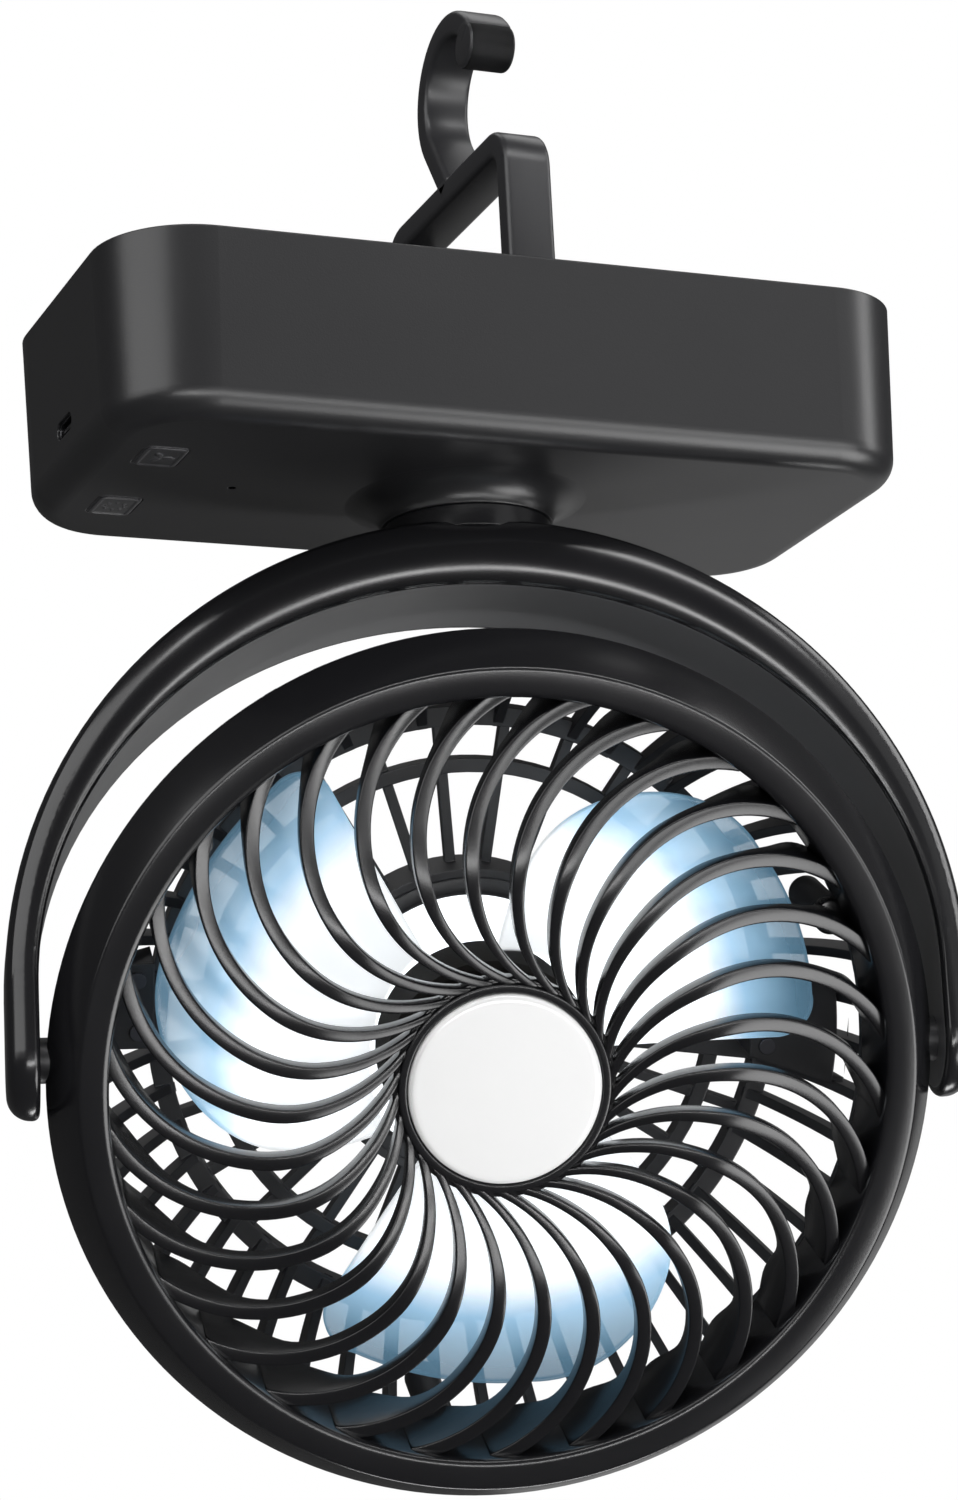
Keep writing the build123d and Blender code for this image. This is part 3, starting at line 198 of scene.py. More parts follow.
def plastic(
    name, colour, roughness, grain_scale=3000.0, grain_depth=0.00002, edge=0.0004, wear_and_sheen_lift=1.8, spread=0.12
):
    """Moulded plastic: its colour, lifted along the edges as wear and painted sheen, and a roughness that
    drifts slowly.
    """
    made = bpy.data.materials.new(name)
    made.use_nodes = True
    tree = made.node_tree
    shader = tree.nodes["Principled BSDF"]
    shader.inputs["IOR"].default_value = 1.54
    skin = new_node(tree, "ShaderNodeGroup", node_tree=moulded_skin)
    skin.inputs["Grain Scale"].default_value = grain_scale
    skin.inputs["Grain Depth"].default_value = grain_depth
    skin.inputs["Edge Radius"].default_value = edge
    # Edges are painted lighter: partly wear, partly a painted sheen that stands in for edge highlights
    lighter = [min(1.0, channel * wear_and_sheen_lift) for channel in colour]
    wear_and_sheen = new_node(tree, "ShaderNodeMix", data_type="RGBA")
    wear_and_sheen.inputs["A"].default_value = (*colour, 1)
    wear_and_sheen.inputs["B"].default_value = (*lighter, 1)
    tree.links.new(skin.outputs["Edge"], wear_and_sheen.inputs["Factor"])
    tree.links.new(wear_and_sheen.outputs["Result"], shader.inputs["Base Color"])
    drift = new_node(
        tree, "ShaderNodeMapRange", {"To Min": roughness - spread / 2, "To Max": roughness + spread / 2}
    )
    tree.links.new(skin.outputs["Cloud"], drift.inputs["Value"])
    tree.links.new(drift.outputs["Result"], shader.inputs["Roughness"])
    tree.links.new(skin.outputs["Normal"], shader.inputs["Normal"])
    return made


def dress(node, material):
    """Give a solid of the frame its material."""
    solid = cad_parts[node]
    solid.data.materials.clear()
    solid.data.materials.append(material)


base_plastic = plastic("base_plastic", (0.012, 0.012, 0.013), 0.32, spread=0.06)
dress("base_shell", base_plastic)
dress("base_cover", base_plastic)

# ------------------------------------------------------------------ folding hook
# Bail and open hook, moulded in one flat nylon strap with rounded edges and a knob at the tip.
# It turns on two steel pins in the lid and folds flat into a recess.

hook_nylon = plastic(
    "hook_nylon", (0.020, 0.020, 0.022), 0.34, grain_scale=1800.0, grain_depth=0.00001, edge=0.0006
)
dress("hanging_hook", hook_nylon)
MM = 0.001
SMOOTH = math.radians(35)


def draft(name, place):
    """A drawing that starts from one point, left in edit mode."""
    bpy.ops.object.select_all(action="DESELECT")
    bpy.ops.mesh.primitive_plane_add(size=MM)
    piece = bpy.context.object
    piece.name = name
    bpy.ops.object.mode_set(mode="EDIT")
    bpy.ops.mesh.merge(type="CENTER")
    bpy.ops.transform.translate(value=place)
    return piece


def thicken(piece, thickness, **settings):
    """Give a sheet a wall in millimetres, half of it on each side."""
    wall = piece.modifiers.new("wall", "SOLIDIFY")
    wall.thickness = thickness * MM
    wall.offset = 0
    for key, value in settings.items():
        setattr(wall, key, value)
    bpy.ops.object.modifier_apply(modifier="wall")


def soften(piece, width, segments=3, limit=25):
    """Round the sharp edges of a piece and shade it smooth."""
    bevel = piece.modifiers.new("soft_edges", "BEVEL")
    bevel.width = width * MM
    bevel.segments = segments
    bevel.limit_method = "ANGLE"
    bevel.angle_limit = math.radians(limit)
    bpy.ops.object.select_all(action="DESELECT")
    bpy.context.view_layer.objects.active = piece
    piece.select_set(True)
    bpy.ops.object.modifier_apply(modifier="soft_edges")
    bpy.ops.object.shade_smooth_by_angle(angle=SMOOTH)


def joined(pieces):
    """Join pieces into the first of them."""
    bpy.ops.object.select_all(action="DESELECT")
    for piece in pieces:
        piece.select_set(True)
    bpy.context.view_layer.objects.active = pieces[0]
    bpy.ops.object.join()
    return pieces[0]


def fit(piece, where, body, material):
    """Set a finished piece in its place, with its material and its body."""
    piece.data.transform(where)
    piece.data.materials.clear()
    piece.data.materials.append(material)
    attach(piece, body)


STRAP = 9.0
SOFT_EDGE = 1.0
ARC_STEP = 6
WELD = 0.01


def strap(name, start, moves, thickness):
    """Flat strap on edge: straight runs and arcs in the hook's plane, then width, wall and soft edges."""
    piece = draft(name, (-STRAP / 2 * MM, start[0] * MM, start[1] * MM))
    for kind, across, up, turn in moves:
        if kind == "run":
            bpy.ops.mesh.extrude_region_move(TRANSFORM_OT_translate={"value": (0, across * MM, up * MM)})
        else:
            bpy.ops.mesh.spin(
                steps=round(abs(turn) / ARC_STEP), angle=-math.radians(turn),
                center=(-STRAP / 2 * MM, across * MM, up * MM), axis=(1, 0, 0),
            )
    bpy.ops.mesh.select_all(action="SELECT")
    bpy.ops.mesh.remove_doubles(threshold=WELD * MM)
    bpy.ops.mesh.extrude_region_move(TRANSFORM_OT_translate={"value": (STRAP * MM, 0, 0)})
    bpy.ops.object.mode_set(mode="OBJECT")
    thicken(piece, thickness, use_even_offset=True)
    soften(piece, SOFT_EDGE, segments=4, limit=50)
    return piece


BAIL_STRAP = 4.8
BAIL_SIDE = 28.1
BAIL_FOOT = -4.4
BAIL_SHOULDER = 26.3
BAIL_BEND = 5.6
leg = BAIL_SHOULDER - BAIL_FOOT
corner = BAIL_SIDE - BAIL_BEND
bail_moves = (
    ("run", 0, leg, 0),
    ("arc", -corner, BAIL_SHOULDER, -90),
    ("run", 2 * corner, 0, 0),
    ("arc", corner, BAIL_SHOULDER, -90),
    ("run", 0, -leg, 0),
)
bail = strap("hook_strap", (-BAIL_SIDE, BAIL_FOOT), bail_moves, BAIL_STRAP)

CURL_STRAP = 4.68
CURL_FOOT = (-1.05, 31.8)
CURL_ROOT = (7.392, 10.807)
CURL_CENTRE = (-4.0, 50.4)
CURL_SWEEP = 184
curl = strap("hook_curl", CURL_FOOT, (("run", *CURL_ROOT, 0), ("arc", *CURL_CENTRE, CURL_SWEEP)), CURL_STRAP)

# The knob at the tip swells inward only, so the strap's outer side runs on into it
KNOB_RADIUS = 4.3
KNOB_PLACE = (0, -13.5 * MM, 55.9 * MM)
KNOB_PROUD = 0.08
KNOB_EDGE = 0.9
bpy.ops.object.select_all(action="DESELECT")
bpy.ops.mesh.primitive_cylinder_add(
    vertices=64, radius=KNOB_RADIUS * MM, depth=(STRAP + KNOB_PROUD) * MM,
    location=KNOB_PLACE, rotation=(0, math.pi / 2, 0),
)
knob = bpy.context.object
bpy.ops.object.mode_set(mode="EDIT")
bpy.ops.mesh.select_all(action="SELECT")
bpy.ops.mesh.bevel(offset=KNOB_EDGE * MM, segments=4, affect="EDGES")
bpy.ops.object.mode_set(mode="OBJECT")
bpy.ops.object.transform_apply(location=True, rotation=True, scale=True)
joined([bail, curl, knob])
bpy.ops.object.shade_smooth_by_angle(angle=math.radians(30))
HINGE = Vector((0, 0.004, -0.061))
fit(bail, Matrix.Translation(HINGE), "hook", hook_nylon)
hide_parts("hanging_hook")


TOOL_MARKS = 0.000008
METAL_EDGE = 0.0002
TARNISH = 0.8


def metal(name, colour, roughness, grain_scale):
    """Turned or stamped metal with fine tool marks."""
    made = bpy.data.materials.new(name)
    made.use_nodes = True
    tree = made.node_tree
    shader = tree.nodes["Principled BSDF"]
    shader.inputs["Metallic"].default_value = 1.0
    skin = new_node(tree, "ShaderNodeGroup", node_tree=moulded_skin)
    skin.inputs["Grain Scale"].default_value = grain_scale
    skin.inputs["Grain Depth"].default_value = TOOL_MARKS
    skin.inputs["Edge Radius"].default_value = METAL_EDGE
    tint = new_node(tree, "ShaderNodeMix", data_type="RGBA")
    tint.inputs["A"].default_value = (*[channel * TARNISH for channel in colour], 1)
    tint.inputs["B"].default_value = (*colour, 1)
    drift = new_node(tree, "ShaderNodeMapRange", {"To Min": roughness - 0.06, "To Max": roughness + 0.08})
    tree.links.new(skin.outputs["Cloud"], tint.inputs["Factor"])
    tree.links.new(tint.outputs["Result"], shader.inputs["Base Color"])
    tree.links.new(skin.outputs["Grain"], drift.inputs["Value"])
    tree.links.new(drift.outputs["Result"], shader.inputs["Roughness"])
    tree.links.new(skin.outputs["Normal"], shader.inputs["Normal"])
    return made


pin_steel = metal("pin_steel", (0.60, 0.60, 0.62), 0.3, 2500.0)
dress("hook_pins", pin_steel)

# ------------------------------------------------------------------ screws and feet of the lid
# Four steel screws hold the lid to the case, and four soft rubber feet are pressed into shallow seats,
# so that the base can stand on a table with its hook folded away.

screw_steel = metal("screw_steel", (0.09, 0.09, 0.10), 0.45, 2500.0)
foot_rubber = plastic("foot_rubber", (0.03, 0.03, 0.03), 0.75, grain_scale=1500.0, grain_depth=0.00004)
dress("cover_screws", screw_steel)
dress("rubber_feet", foot_rubber)

# ------------------------------------------------------------------ keys, indicator and charging port
# Two moulded keys with a rim and a small raised sign, each on a switch behind the case's underside.
# A pin-sized lens is pressed in beside them, and a stamped steel port opens in the end wall.

# The keys' rims get a strong lift: painted highlight lines along their edges, with a little wear
key_plastic = plastic("key_plastic", (0.025, 0.025, 0.027), 0.4, edge=0.0005, wear_and_sheen_lift=2.6)
lens_plastic = plastic("lens_plastic", (0.001, 0.001, 0.001), 0.5, grain_depth=0.0)
lens_plastic.node_tree.nodes["Principled BSDF"].inputs["Specular IOR Level"].default_value = 0.0
port_steel = metal("port_steel", (0.16, 0.16, 0.17), 0.3, 3000.0)
dress("fan_button", key_plastic)
dress("light_button", key_plastic)
KEY_X = -0.065
KEY_FACE = -0.0895
PAD_WIDTH = 7.6 * MM
PAD_LENGTH = 9.6 * MM
PAD_CORNER = 1.4 * MM
PAD_HEIGHT = 0.25 * MM
RIM_HEIGHT = 0.12 * MM
RIM_WIDTH = 0.45 * MM
RIM_SLOPE = 0.18 * MM
PETAL_HEIGHT = 0.22 * MM
PETAL_SLOPE = 0.12 * MM
PETAL_CROWN = 0.08 * MM


def key_pad(name, y, body, petals, petal_size, petal_reach):
    """Face of a key: a pad with a raised rim, round a sign of small raised petals."""
    bpy.ops.object.select_all(action="DESELECT")
    bpy.ops.mesh.primitive_plane_add(size=1)
    pad = bpy.context.object
    pad.name = name
    bpy.ops.object.mode_set(mode="EDIT")
    bpy.ops.transform.resize(value=(PAD_WIDTH, PAD_LENGTH, 1))
    bpy.ops.mesh.bevel(offset=PAD_CORNER, segments=5, affect="VERTICES")
    bpy.ops.mesh.select_all(action="SELECT")
    bpy.ops.mesh.extrude_region_move(TRANSFORM_OT_translate={"value": (0, 0, PAD_HEIGHT)})
    bpy.ops.mesh.inset(thickness=RIM_SLOPE, depth=RIM_HEIGHT)
    bpy.ops.mesh.inset(thickness=RIM_WIDTH, depth=0)
    bpy.ops.mesh.inset(thickness=RIM_SLOPE, depth=-RIM_SLOPE)
    bpy.ops.object.mode_set(mode="OBJECT")
    parts = [pad]
    for turn in range(petals):
        bpy.ops.mesh.primitive_circle_add(vertices=24, radius=1, fill_type="NGON")
        petal = bpy.context.object
        bpy.ops.object.mode_set(mode="EDIT")
        bpy.ops.transform.resize(value=(*petal_size, 1))
        bpy.ops.mesh.extrude_region_move(TRANSFORM_OT_translate={"value": (0, 0, PETAL_HEIGHT)})
        bpy.ops.mesh.inset(thickness=PETAL_SLOPE, depth=PETAL_CROWN)
        bpy.ops.object.mode_set(mode="OBJECT")
        petal.data.transform(Matrix.Translation((petal_reach, 0, RIM_HEIGHT)))
        petal.data.transform(Matrix.Rotation(math.tau * turn / petals, 4, "Z"))
        parts.append(petal)
    joined(parts)
    bpy.ops.object.shade_smooth_by_angle(angle=SMOOTH)
    place = Matrix.Translation((KEY_X, y, KEY_FACE)) @ Matrix.Rotation(math.pi, 4, "X")
    fit(pad, place, body, key_plastic)


key_pad("fan_key_face", -0.0087, "fan_key", 3, (0.0011, 0.00055), 0.0013)
key_pad("light_key_face", 0.0193, "light_key", 8, (0.0004, 0.00018), 0.0019)
dress("indicator_lens", lens_plastic)
dress("usb_port", port_steel)

# ------------------------------------------------------------------ board and cells inside the base
# Green circuit board on four screws, and two steel cells in plain sleeves that lie in cradles.
# None of it shows while the case is shut.

board_green = plastic("board_green", (0.05, 0.2, 0.09), 0.35, grain_scale=900.0)
cell_sleeve = plastic("cell_sleeve", (0.2, 0.35, 0.6), 0.3, grain_scale=900.0, grain_depth=0.000005)
dress("control_board", board_green)
dress("board_screws", screw_steel)
dress("battery_cells", cell_sleeve)

# ------------------------------------------------------------------ yoke
# Arched band, moulded in a glossier black, with a grey liner pushed into its inner side. A washer and
# three screws hold it to the case, and hollow nylon pins in its arms carry the head.

yoke_plastic = plastic(
    "yoke_plastic", (0.008, 0.008, 0.009), 0.20,
    grain_scale=1500.0, grain_depth=0.000004, edge=0.0003, wear_and_sheen_lift=1.2,
)
liner_plastic = plastic(
    "liner_plastic", (0.090, 0.091, 0.095), 0.32, grain_scale=2500.0, grain_depth=0.00001
)
pin_plastic = plastic("pin_plastic", (0.020, 0.020, 0.022), 0.45)
dress("yoke", yoke_plastic)
dress("yoke_liner", liner_plastic)
dress("swivel_retainer", pin_steel)
dress("swivel_screws", screw_steel)
dress("tilt_pin_left", pin_plastic)
dress("tilt_pin_right", pin_plastic)

# The front of the arch is crowned: a shallow arc across the band that sinks into the edge roundings
# and dies out where the band narrows into the arms
SWIVEL = math.radians(-14)
ACROSS = Vector((math.cos(SWIVEL), math.sin(SWIVEL), 0))
YOKE_FRONT = Vector((math.sin(SWIVEL), -math.cos(SWIVEL), 0))
ARCH = Vector((-0.003, 0.004, -0.179))
ARCH_FRAME = Matrix((
    (ACROSS.x, 0, YOKE_FRONT.x, ARCH.x),
    (ACROSS.y, 0, YOKE_FRONT.y, ARCH.y),
    (0, 1, 0, ARCH.z),
    (0, 0, 0, 1),
))
ARCH_OUTER = (85.3, 82.6)
ARCH_INNER = (79.6, 70.0)
BAND_ARM = 10.4
BAND_TOP = 15.8
CROWN_START = 1.2
CROWN_STOP = 0.4
CROWN_LOW = -1.6
CROWN_HIGH = -0.55
CROWN_RISE = 0.29
CROWN_BEND = 0.6
CROWN_WALL = 0.6
CROWN_ROWS = 16
CROWN_STEPS = 120
DRAFT_RADIUS = 60.0
DRAFT_WIDTH = 16.0
crown = draft("yoke_crown", (DRAFT_RADIUS * MM, 0, 0))
for row in range(CROWN_ROWS):
    bpy.ops.mesh.extrude_region_move(TRANSFORM_OT_translate={"value": (DRAFT_WIDTH / CROWN_ROWS * MM, 0, 0)})
bpy.ops.mesh.select_all(action="SELECT")
bpy.ops.mesh.spin(steps=CROWN_STEPS, angle=-math.pi, center=(0, 0, 0), axis=(0, 0, 1))
bpy.ops.mesh.select_all(action="SELECT")
bpy.ops.mesh.remove_doubles(threshold=WELD * MM)
bpy.ops.object.mode_set(mode="OBJECT")
band = [outer - inner for outer, inner in zip(ARCH_OUTER, ARCH_INNER)]
flat = math.sqrt(1 - CROWN_BEND**2)
for vertex in crown.data.vertices:
    turn = abs(math.atan2(vertex.co.y, vertex.co.x))
    share = (math.hypot(vertex.co.x, vertex.co.y) / MM - DRAFT_RADIUS) / DRAFT_WIDTH
    wide = band[0] * math.cos(turn) ** 2 + band[1] * math.sin(turn) ** 2
    reach = (CROWN_STOP + share * (wide - CROWN_STOP - CROWN_START)) / wide
    swell = (math.sqrt(1 - (CROWN_BEND * (2 * share - 1)) ** 2) - flat) / (1 - flat)
    rise = CROWN_RISE * (wide - CROWN_STOP - CROWN_START) / 2 * swell
    across = (ARCH_INNER[0] + reach * band[0]) * math.cos(turn)
    height = (ARCH_INNER[1] + reach * band[1]) * math.sin(turn)
    depth = BAND_ARM + (BAND_TOP - BAND_ARM) * height / ARCH_OUTER[1]
    depth += CROWN_HIGH + share * (CROWN_LOW - CROWN_HIGH) + rise
    vertex.co = Vector((across, height, depth)) * MM
thicken(crown, CROWN_WALL)
bpy.ops.object.shade_smooth_by_angle(angle=math.radians(40))
fit(crown, ARCH_FRAME, "yoke", yoke_plastic)

# ------------------------------------------------------------------ bezel of the front grille
# The grille is one moulding of satin black ABS. Its bezel is a leaning skirt, a narrow flat face and
# a shroud that runs back inside, all with softened edges.

TILT = math.radians(25)
FORWARD = Vector((math.sin(SWIVEL) * math.cos(TILT), -math.cos(SWIVEL) * math.cos(TILT), -math.sin(TILT)))
UPWARD = FORWARD.cross(ACROSS)
PIVOT = Vector((-0.003, 0.004, -0.1905))
PIVOT_ABOVE = 0.0031
PIVOT_BEHIND = 0.0014
HEAD = PIVOT - UPWARD * PIVOT_ABOVE + FORWARD * PIVOT_BEHIND
HEAD_FRAME = Matrix((
    (ACROSS.x, UPWARD.x, FORWARD.x, HEAD.x),
    (ACROSS.y, UPWARD.y, FORWARD.y, HEAD.y),
    (ACROSS.z, UPWARD.z, FORWARD.z, HEAD.z),
    (0, 0, 0, 1),
))


def turned(name, outline, steps):
    """Turned piece: an outline of (radius, height) in millimetres, drawn edge by edge and spun round Z."""
    piece = draft(name, (outline[0][0] * MM, 0, outline[0][1] * MM))
    for start, stop in zip(outline, outline[1:]):
        step = ((stop[0] - start[0]) * MM, 0, (stop[1] - start[1]) * MM)
        bpy.ops.mesh.extrude_region_move(TRANSFORM_OT_translate={"value": step})
    bpy.ops.mesh.select_all(action="SELECT")
    bpy.ops.mesh.remove_doubles(threshold=WELD * MM)
    bpy.ops.mesh.spin(steps=steps, angle=math.tau, center=(0, 0, 0), axis=(0, 0, 1))
    bpy.ops.mesh.select_all(action="SELECT")
    bpy.ops.mesh.remove_doubles(threshold=WELD * MM)
    bpy.ops.mesh.normals_make_consistent(inside=False)
    bpy.ops.object.mode_set(mode="OBJECT")
    return piece


grille_plastic = plastic(
    "grille_plastic", (0.006, 0.006, 0.007), 0.24,
    grain_scale=2200.0, grain_depth=0.000006, edge=0.0003, wear_and_sheen_lift=1.6,
)
bezel = turned(
    "grille_bezel",
    (
        (78.3, -1.0), (78.6, 1.2), (73.4, 11.93), (68.9, 11.93), (68.1, 11.2), (68.1, -8.0), (69.9, -8.0),
        (69.9, 9.8), (72.2, 9.8), (76.4, 1.2), (76.4, -1.0), (78.3, -1.0),
    ),
    180,
)
soften(bezel, 0.55)
fit(bezel, HEAD_FRAME, "head", grille_plastic)

# ------------------------------------------------------------------ ribs of the front grille
# Thirty thin ribs, each one arc that leaves the hub at a slant and rises to a dome half way out. Their
# outer ends run down the shroud as gussets, and their front edges are rounded off.

RIB_COUNT = 30
RIB_CIRCLE = 45.44
RIB_RADIUS = 27.6
RIB_PHASE = -9.2
RIB_START = 39.0
RIB_SWEEP = 134.0
RIB_THICKNESS = 2.5
RIB_SLIMMEST = 0.56
RIB_SLIM_END = 19.0
RIB_WIDENING = 22.0
RIB_EDGE = 0.32
RIB_DRAFT = 10.0
RIB_STEPS = 48
DOME = ((17.6, 12.9), (26.0, 16.0), (38.0, 18.3), (50.0, 15.5), (69.1, 9.2))
UNDER = ((17.6, 9.4), (26.0, 12.2), (38.0, 14.3), (50.0, 11.3), (60.0, 6.5), (66.1, -7.0), (69.1, -7.0))


def height_at(curve, radius):
    """Height of a smooth curve through (radius, height) points."""
    last = len(curve) - 1
    index = max(i for i in range(last) if curve[i][0] <= radius or i == 0)
    (r0, z0), (r1, z1) = curve[index], curve[index + 1]
    before = curve[max(index - 1, 0)]
    after = curve[min(index + 2, last)]
    slope_0 = (z1 - before[1]) / (r1 - before[0])
    slope_1 = (after[1] - z0) / (after[0] - r0)
    t = min(max((radius - r0) / (r1 - r0), 0.0), 1.0)
    run = r1 - r0
    return (
        (2 * t**3 - 3 * t**2 + 1) * z0
        + (t**3 - 2 * t**2 + t) * run * slope_0
        + (3 * t**2 - 2 * t**3) * z1
        + (t**3 - t**2) * run * slope_1
    )


centre = Vector((math.cos(math.radians(RIB_PHASE)), math.sin(math.radians(RIB_PHASE)), 0)) * RIB_CIRCLE * MM
first = math.radians(RIB_PHASE + RIB_START)
rib = draft("grille_ribs", centre + Vector((math.cos(first), math.sin(first), 0)) * RIB_RADIUS * MM)
bpy.ops.mesh.extrude_region_move(TRANSFORM_OT_translate={"value": (0, 0, RIB_DRAFT * MM)})
bpy.ops.mesh.select_all(action="SELECT")
bpy.ops.mesh.spin(steps=RIB_STEPS, angle=-math.radians(RIB_SWEEP), center=centre, axis=(0, 0, 1))
bpy.ops.object.mode_set(mode="OBJECT")
width_group = rib.vertex_groups.new(name="width")
for vertex in rib.data.vertices:
    reach = math.hypot(vertex.co.x, vertex.co.y) / MM
    vertex.co.z = height_at(DOME if vertex.co.z > RIB_DRAFT / 2 * MM else UNDER, reach) * MM
    width_group.add([vertex.index], min(max((reach - RIB_SLIM_END) / RIB_WIDENING, 0), 1), "REPLACE")
thicken(rib, RIB_THICKNESS, vertex_group="width", thickness_vertex_group=RIB_SLIMMEST)
soften(rib, RIB_EDGE, limit=50)
ribs = [rib]
for turn in range(1, RIB_COUNT):
    copy = rib.copy()
    copy.data = rib.data.copy()
    copy.data.transform(Matrix.Rotation(math.tau * turn / RIB_COUNT, 4, "Z"))
    scene.collection.objects.link(copy)
    ribs.append(copy)
joined(ribs)
fit(rib, HEAD_FRAME, "head", grille_plastic)

# ------------------------------------------------------------------ posts of the front grille
# Three short round posts of the same moulding, hidden behind the bezel, that take the screws of the
# rear housing.

POST_ANGLES = (22.2, 142.2, 262.2)
POST_RADIUS = 3.2
POST_LENGTH = 3.4
POST_EDGE = 0.4
POST_PLACE = Vector((66.0, 0, -6.3)) * MM
posts = []
for angle in POST_ANGLES:
    bpy.ops.object.select_all(action="DESELECT")
    bpy.ops.mesh.primitive_cylinder_add(vertices=32, radius=POST_RADIUS * MM, depth=POST_LENGTH * MM)
    post = bpy.context.object
    bpy.ops.object.mode_set(mode="EDIT")
    bpy.ops.mesh.select_all(action="SELECT")
    bpy.ops.mesh.bevel(offset=POST_EDGE * MM, segments=2, affect="EDGES")
    bpy.ops.object.mode_set(mode="OBJECT")
    post.data.transform(Matrix.Rotation(math.radians(angle), 4, "Z") @ Matrix.Translation(POST_PLACE))
    posts.append(post)
post = joined(posts)
post.name = "grille_posts"
bpy.ops.object.shade_smooth_by_angle(angle=SMOOTH)
fit(post, HEAD_FRAME, "head", grille_plastic)

# ------------------------------------------------------------------ hub of the front grille
# Shallow cup in the middle of the grille, moulded in one with the ribs, with a lower step that they run
# into and a rim that stands round the cap.

hub = turned(
    "grille_hub",
    (
        (3.0, 9.4), (19.6, 9.4), (19.6, 13.0), (18.6, 13.0), (18.6, 14.0), (17.15, 14.0), (17.15, 11.0),
        (3.0, 11.0), (3.0, 9.4),
    ),
    96,
)
soften(hub, 0.3)
fit(hub, HEAD_FRAME, "head", grille_plastic)
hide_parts("front_grille")
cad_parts["front_grille"].data.materials.clear()
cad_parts["front_grille"].data.materials.append(grille_plastic)

# ------------------------------------------------------------------ hub cap
# Bare disc of glossy white ABS, pressed into the cup. Its face is flat and plain, and its edge is
# rounded off.

cap_plastic = plastic(
    "cap_plastic", (0.66, 0.66, 0.66), 0.16, grain_scale=900.0, grain_depth=0.000002, edge=0.0002, wear_and_sheen_lift=1.02
)
cap = turned(
    "hub_disc",
    ((0, 14.8), (15.4, 14.8), (16.2, 14.65), (16.8, 14.15), (17.0, 13.5), (17.0, 11.0), (0, 11.0)),
    96,
)
soften(cap, 0.15, segments=2, limit=12)
fit(cap, HEAD_FRAME, "head", cap_plastic)
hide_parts("hub_cap")

# ------------------------------------------------------------------ rear housing
# Bowl of satin black ABS, moulded with its curved guard bars and motor drum, and held to the grille by
# three steel screws. Two small lids on screws close the cable ducts inside.

housing_plastic = plastic("housing_plastic", (0.016, 0.016, 0.018), 0.42)
dress("rear_housing", housing_plastic)
dress("housing_screws", screw_steel)
dress("duct_cover_right", housing_plastic)
dress("duct_cover_left", housing_plastic)
dress("duct_screws", screw_steel)

# ------------------------------------------------------------------ motor and light
# The motor has an iron stator inside a turning hub with a magnet ring, and a steel shaft in two
# bearings. Round it, a white board of chips glows through a frosted acrylic ring.

rotor_plastic = plastic("rotor_plastic", (0.012, 0.011, 0.010), 0.75, grain_scale=1500.0, grain_depth=0.00006)
rotor_plastic.node_tree.nodes["Principled BSDF"].inputs["Specular IOR Level"].default_value = 0.1
motor_iron = metal("motor_iron", (0.25, 0.20, 0.17), 0.5, 900.0)
dress("motor_base", rotor_plastic)
dress("motor_bearings", pin_steel)
dress("motor_stator", motor_iron)
dress("rotor_hub", rotor_plastic)
dress("magnet_ring", motor_iron)
dress("motor_shaft", pin_steel)


def lit(material, colour, strength):
    """Let a material shine by itself."""
    shader = material.node_tree.nodes["Principled BSDF"]
    shader.inputs["Emission Color"].default_value = (*colour, 1)
    shader.inputs["Emission Strength"].default_value = strength
    return material


board_white = lit(plastic("board_white", (0.85, 0.87, 0.88), 0.4, grain_scale=900.0), (0.9, 0.96, 1), 1.2)
diffuser = lit(plastic("diffuser", (0.95, 0.97, 1.0), 0.35, grain_scale=900.0), (0.93, 0.97, 1), 1.4)
dress("led_board", board_white)
dress("led_lens", diffuser)

# Ring that holds the lens in the drum
holder = turned(
    "lens_holder",
    ((24.4, -31.62), (24.4, -31.3), (25.2, -30.9), (27.65, -30.9), (27.65, -31.62), (24.4, -31.62)),
    96,
)
soften(holder, 0.12, segments=2)
fit(holder, HEAD_FRAME, "head", housing_plastic)

# ------------------------------------------------------------------ impeller
# Three blades on a sleeve that is pressed over the motor's hub, moulded in one from clear pale-blue
# plastic. The light of the ring in it is painted: colour and emission fade from white near the hub to dark
# blue at the tips.

BLADE_BRIGHT = 0.040
BLADE_DIM = 0.070
SLEEVE_INNER = 0.0212
SLEEVE_OUTER = 0.0218
FROST = 0.35


def radius_node(tree):
    """Distance from the axis of the head."""
    place = new_node(tree, "ShaderNodeTexCoord")
    shift = new_node(tree, "ShaderNodeVectorMath", operation="SUBTRACT")
    shift.inputs[1].default_value = HEAD
    turn = new_node(tree, "ShaderNodeVectorMath", operation="CROSS_PRODUCT")
    turn.inputs[1].default_value = FORWARD
    length = new_node(tree, "ShaderNodeVectorMath", operation="LENGTH")
    tree.links.new(place.outputs["Object"], shift.inputs[0])
    tree.links.new(shift.outputs[0], turn.inputs[0])
    tree.links.new(turn.outputs[0], length.inputs[0])
    return length.outputs["Value"]


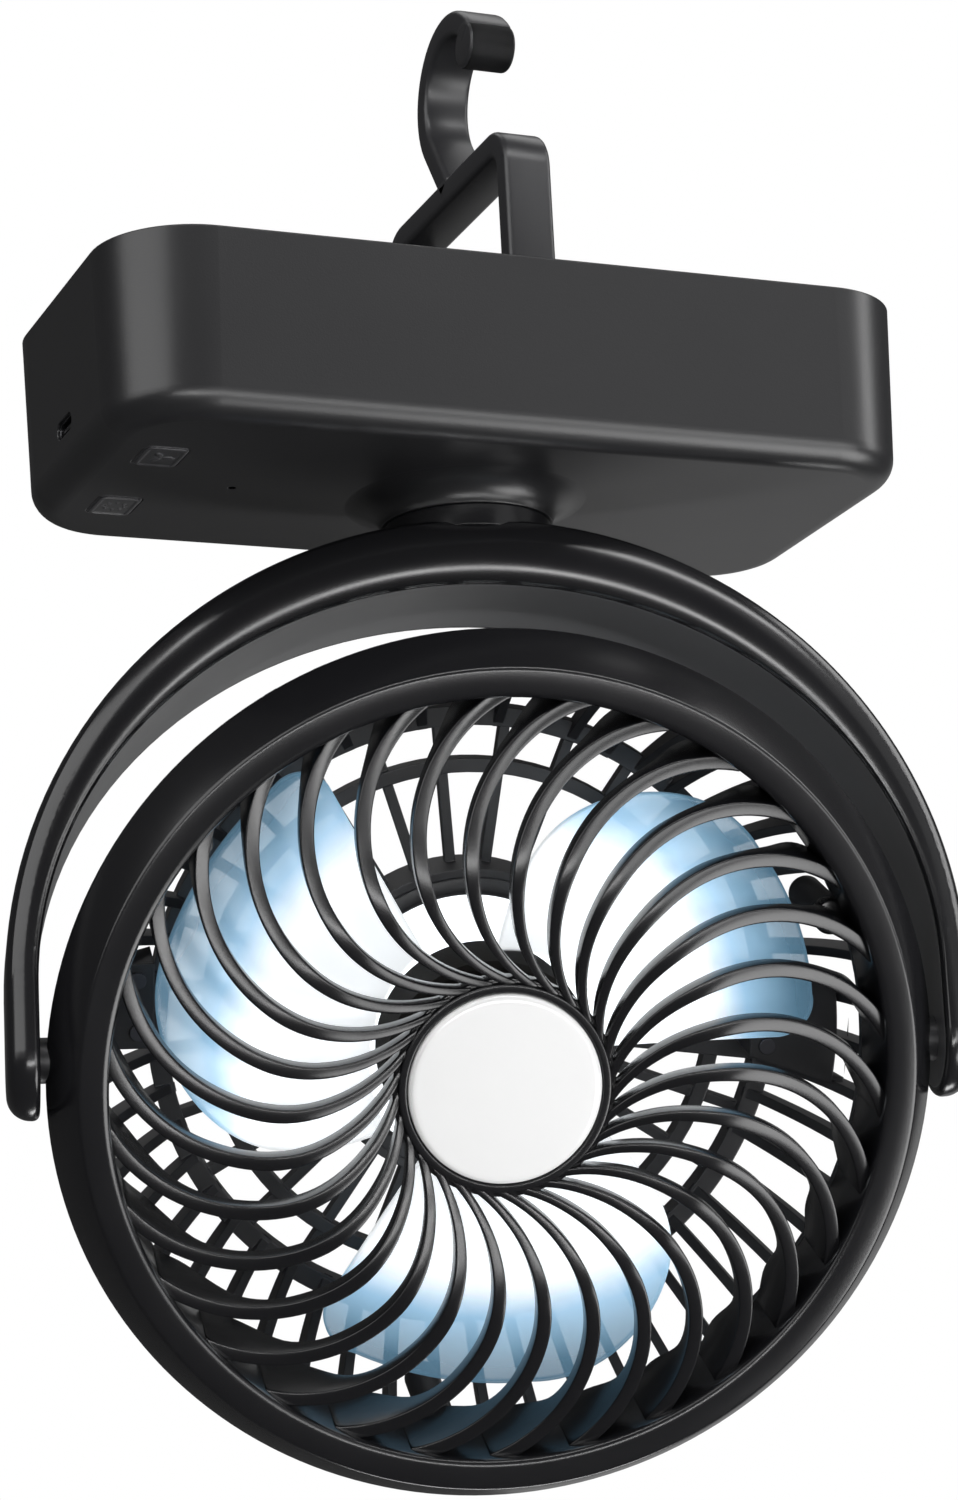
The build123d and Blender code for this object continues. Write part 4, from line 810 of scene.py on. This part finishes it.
def blade_material():
    """Clear pale-blue plastic: milky, with a painted glow near the light, clearer and darker outside, frosted
    edges.
    """
    made = bpy.data.materials.new("blade_plastic")
    made.use_nodes = True
    tree = made.node_tree
    shader = tree.nodes["Principled BSDF"]
    shader.inputs["IOR"].default_value = 1.45
    skin = new_node(tree, "ShaderNodeGroup", node_tree=moulded_skin)
    skin.inputs["Grain Scale"].default_value = 1200.0
    skin.inputs["Grain Depth"].default_value = 0.00001
    skin.inputs["Edge Radius"].default_value = 0.0012
    radius = radius_node(tree)
    reach = new_node(tree, "ShaderNodeMapRange", {"From Min": BLADE_BRIGHT, "From Max": BLADE_DIM})
    tree.links.new(radius, reach.inputs["Value"])
    drift = new_node(tree, "ShaderNodeMath", {1: 0.22, 2: -0.11}, operation="MULTIPLY_ADD")
    tree.links.new(skin.outputs["Cloud"], drift.inputs[0])
    wavy = new_node(tree, "ShaderNodeMath", operation="ADD")
    tree.links.new(reach.outputs["Result"], wavy.inputs[0])
    tree.links.new(drift.outputs[0], wavy.inputs[1])
    # Painted glow: the ramp runs from white near the hub to dark blue at the tips, and feeds both colour and
    # emission
    tint = new_node(tree, "ShaderNodeValToRGB")
    stops = tint.color_ramp
    stops.elements[0].position = 0.08
    stops.elements[0].color = (0.95, 0.98, 1.0, 0.93)
    stops.elements[1].position = 0.95
    stops.elements[1].color = (0.05, 0.10, 0.15, 0.74)
    for place, colour in ((0.30, (0.36, 0.58, 0.76, 0.72)), (0.60, (0.12, 0.24, 0.34, 0.60))):
        stops.elements.new(place).color = colour
    tree.links.new(wavy.outputs[0], tint.inputs["Fac"])
    tree.links.new(tint.outputs["Color"], shader.inputs["Base Color"])
    tree.links.new(tint.outputs["Color"], shader.inputs["Emission Color"])
    # Painted emission, so that the blades glow without any lamp behind them
    shader.inputs["Emission Strength"].default_value = 0.55
    # The sleeve round the dark hub is clear
    body = new_node(tree, "ShaderNodeMapRange", {"From Min": SLEEVE_INNER, "From Max": SLEEVE_OUTER})
    tree.links.new(radius, body.inputs["Value"])
    frost = new_node(tree, "ShaderNodeMath", {1: FROST}, operation="MULTIPLY_ADD")
    tree.links.new(skin.outputs["Edge"], frost.inputs[0])
    tree.links.new(tint.outputs["Alpha"], frost.inputs[2])
    clear = new_node(tree, "ShaderNodeMath", operation="MULTIPLY", use_clamp=True)
    tree.links.new(body.outputs["Result"], clear.inputs[0])
    tree.links.new(frost.outputs[0], clear.inputs[1])
    tree.links.new(clear.outputs[0], shader.inputs["Alpha"])
    rough = new_node(tree, "ShaderNodeMapRange", {"To Min": 0.18, "To Max": 0.5})
    tree.links.new(skin.outputs["Edge"], rough.inputs["Value"])
    tree.links.new(rough.outputs["Result"], shader.inputs["Roughness"])
    tree.links.new(skin.outputs["Normal"], shader.inputs["Normal"])
    return made


dress("impeller", blade_material())
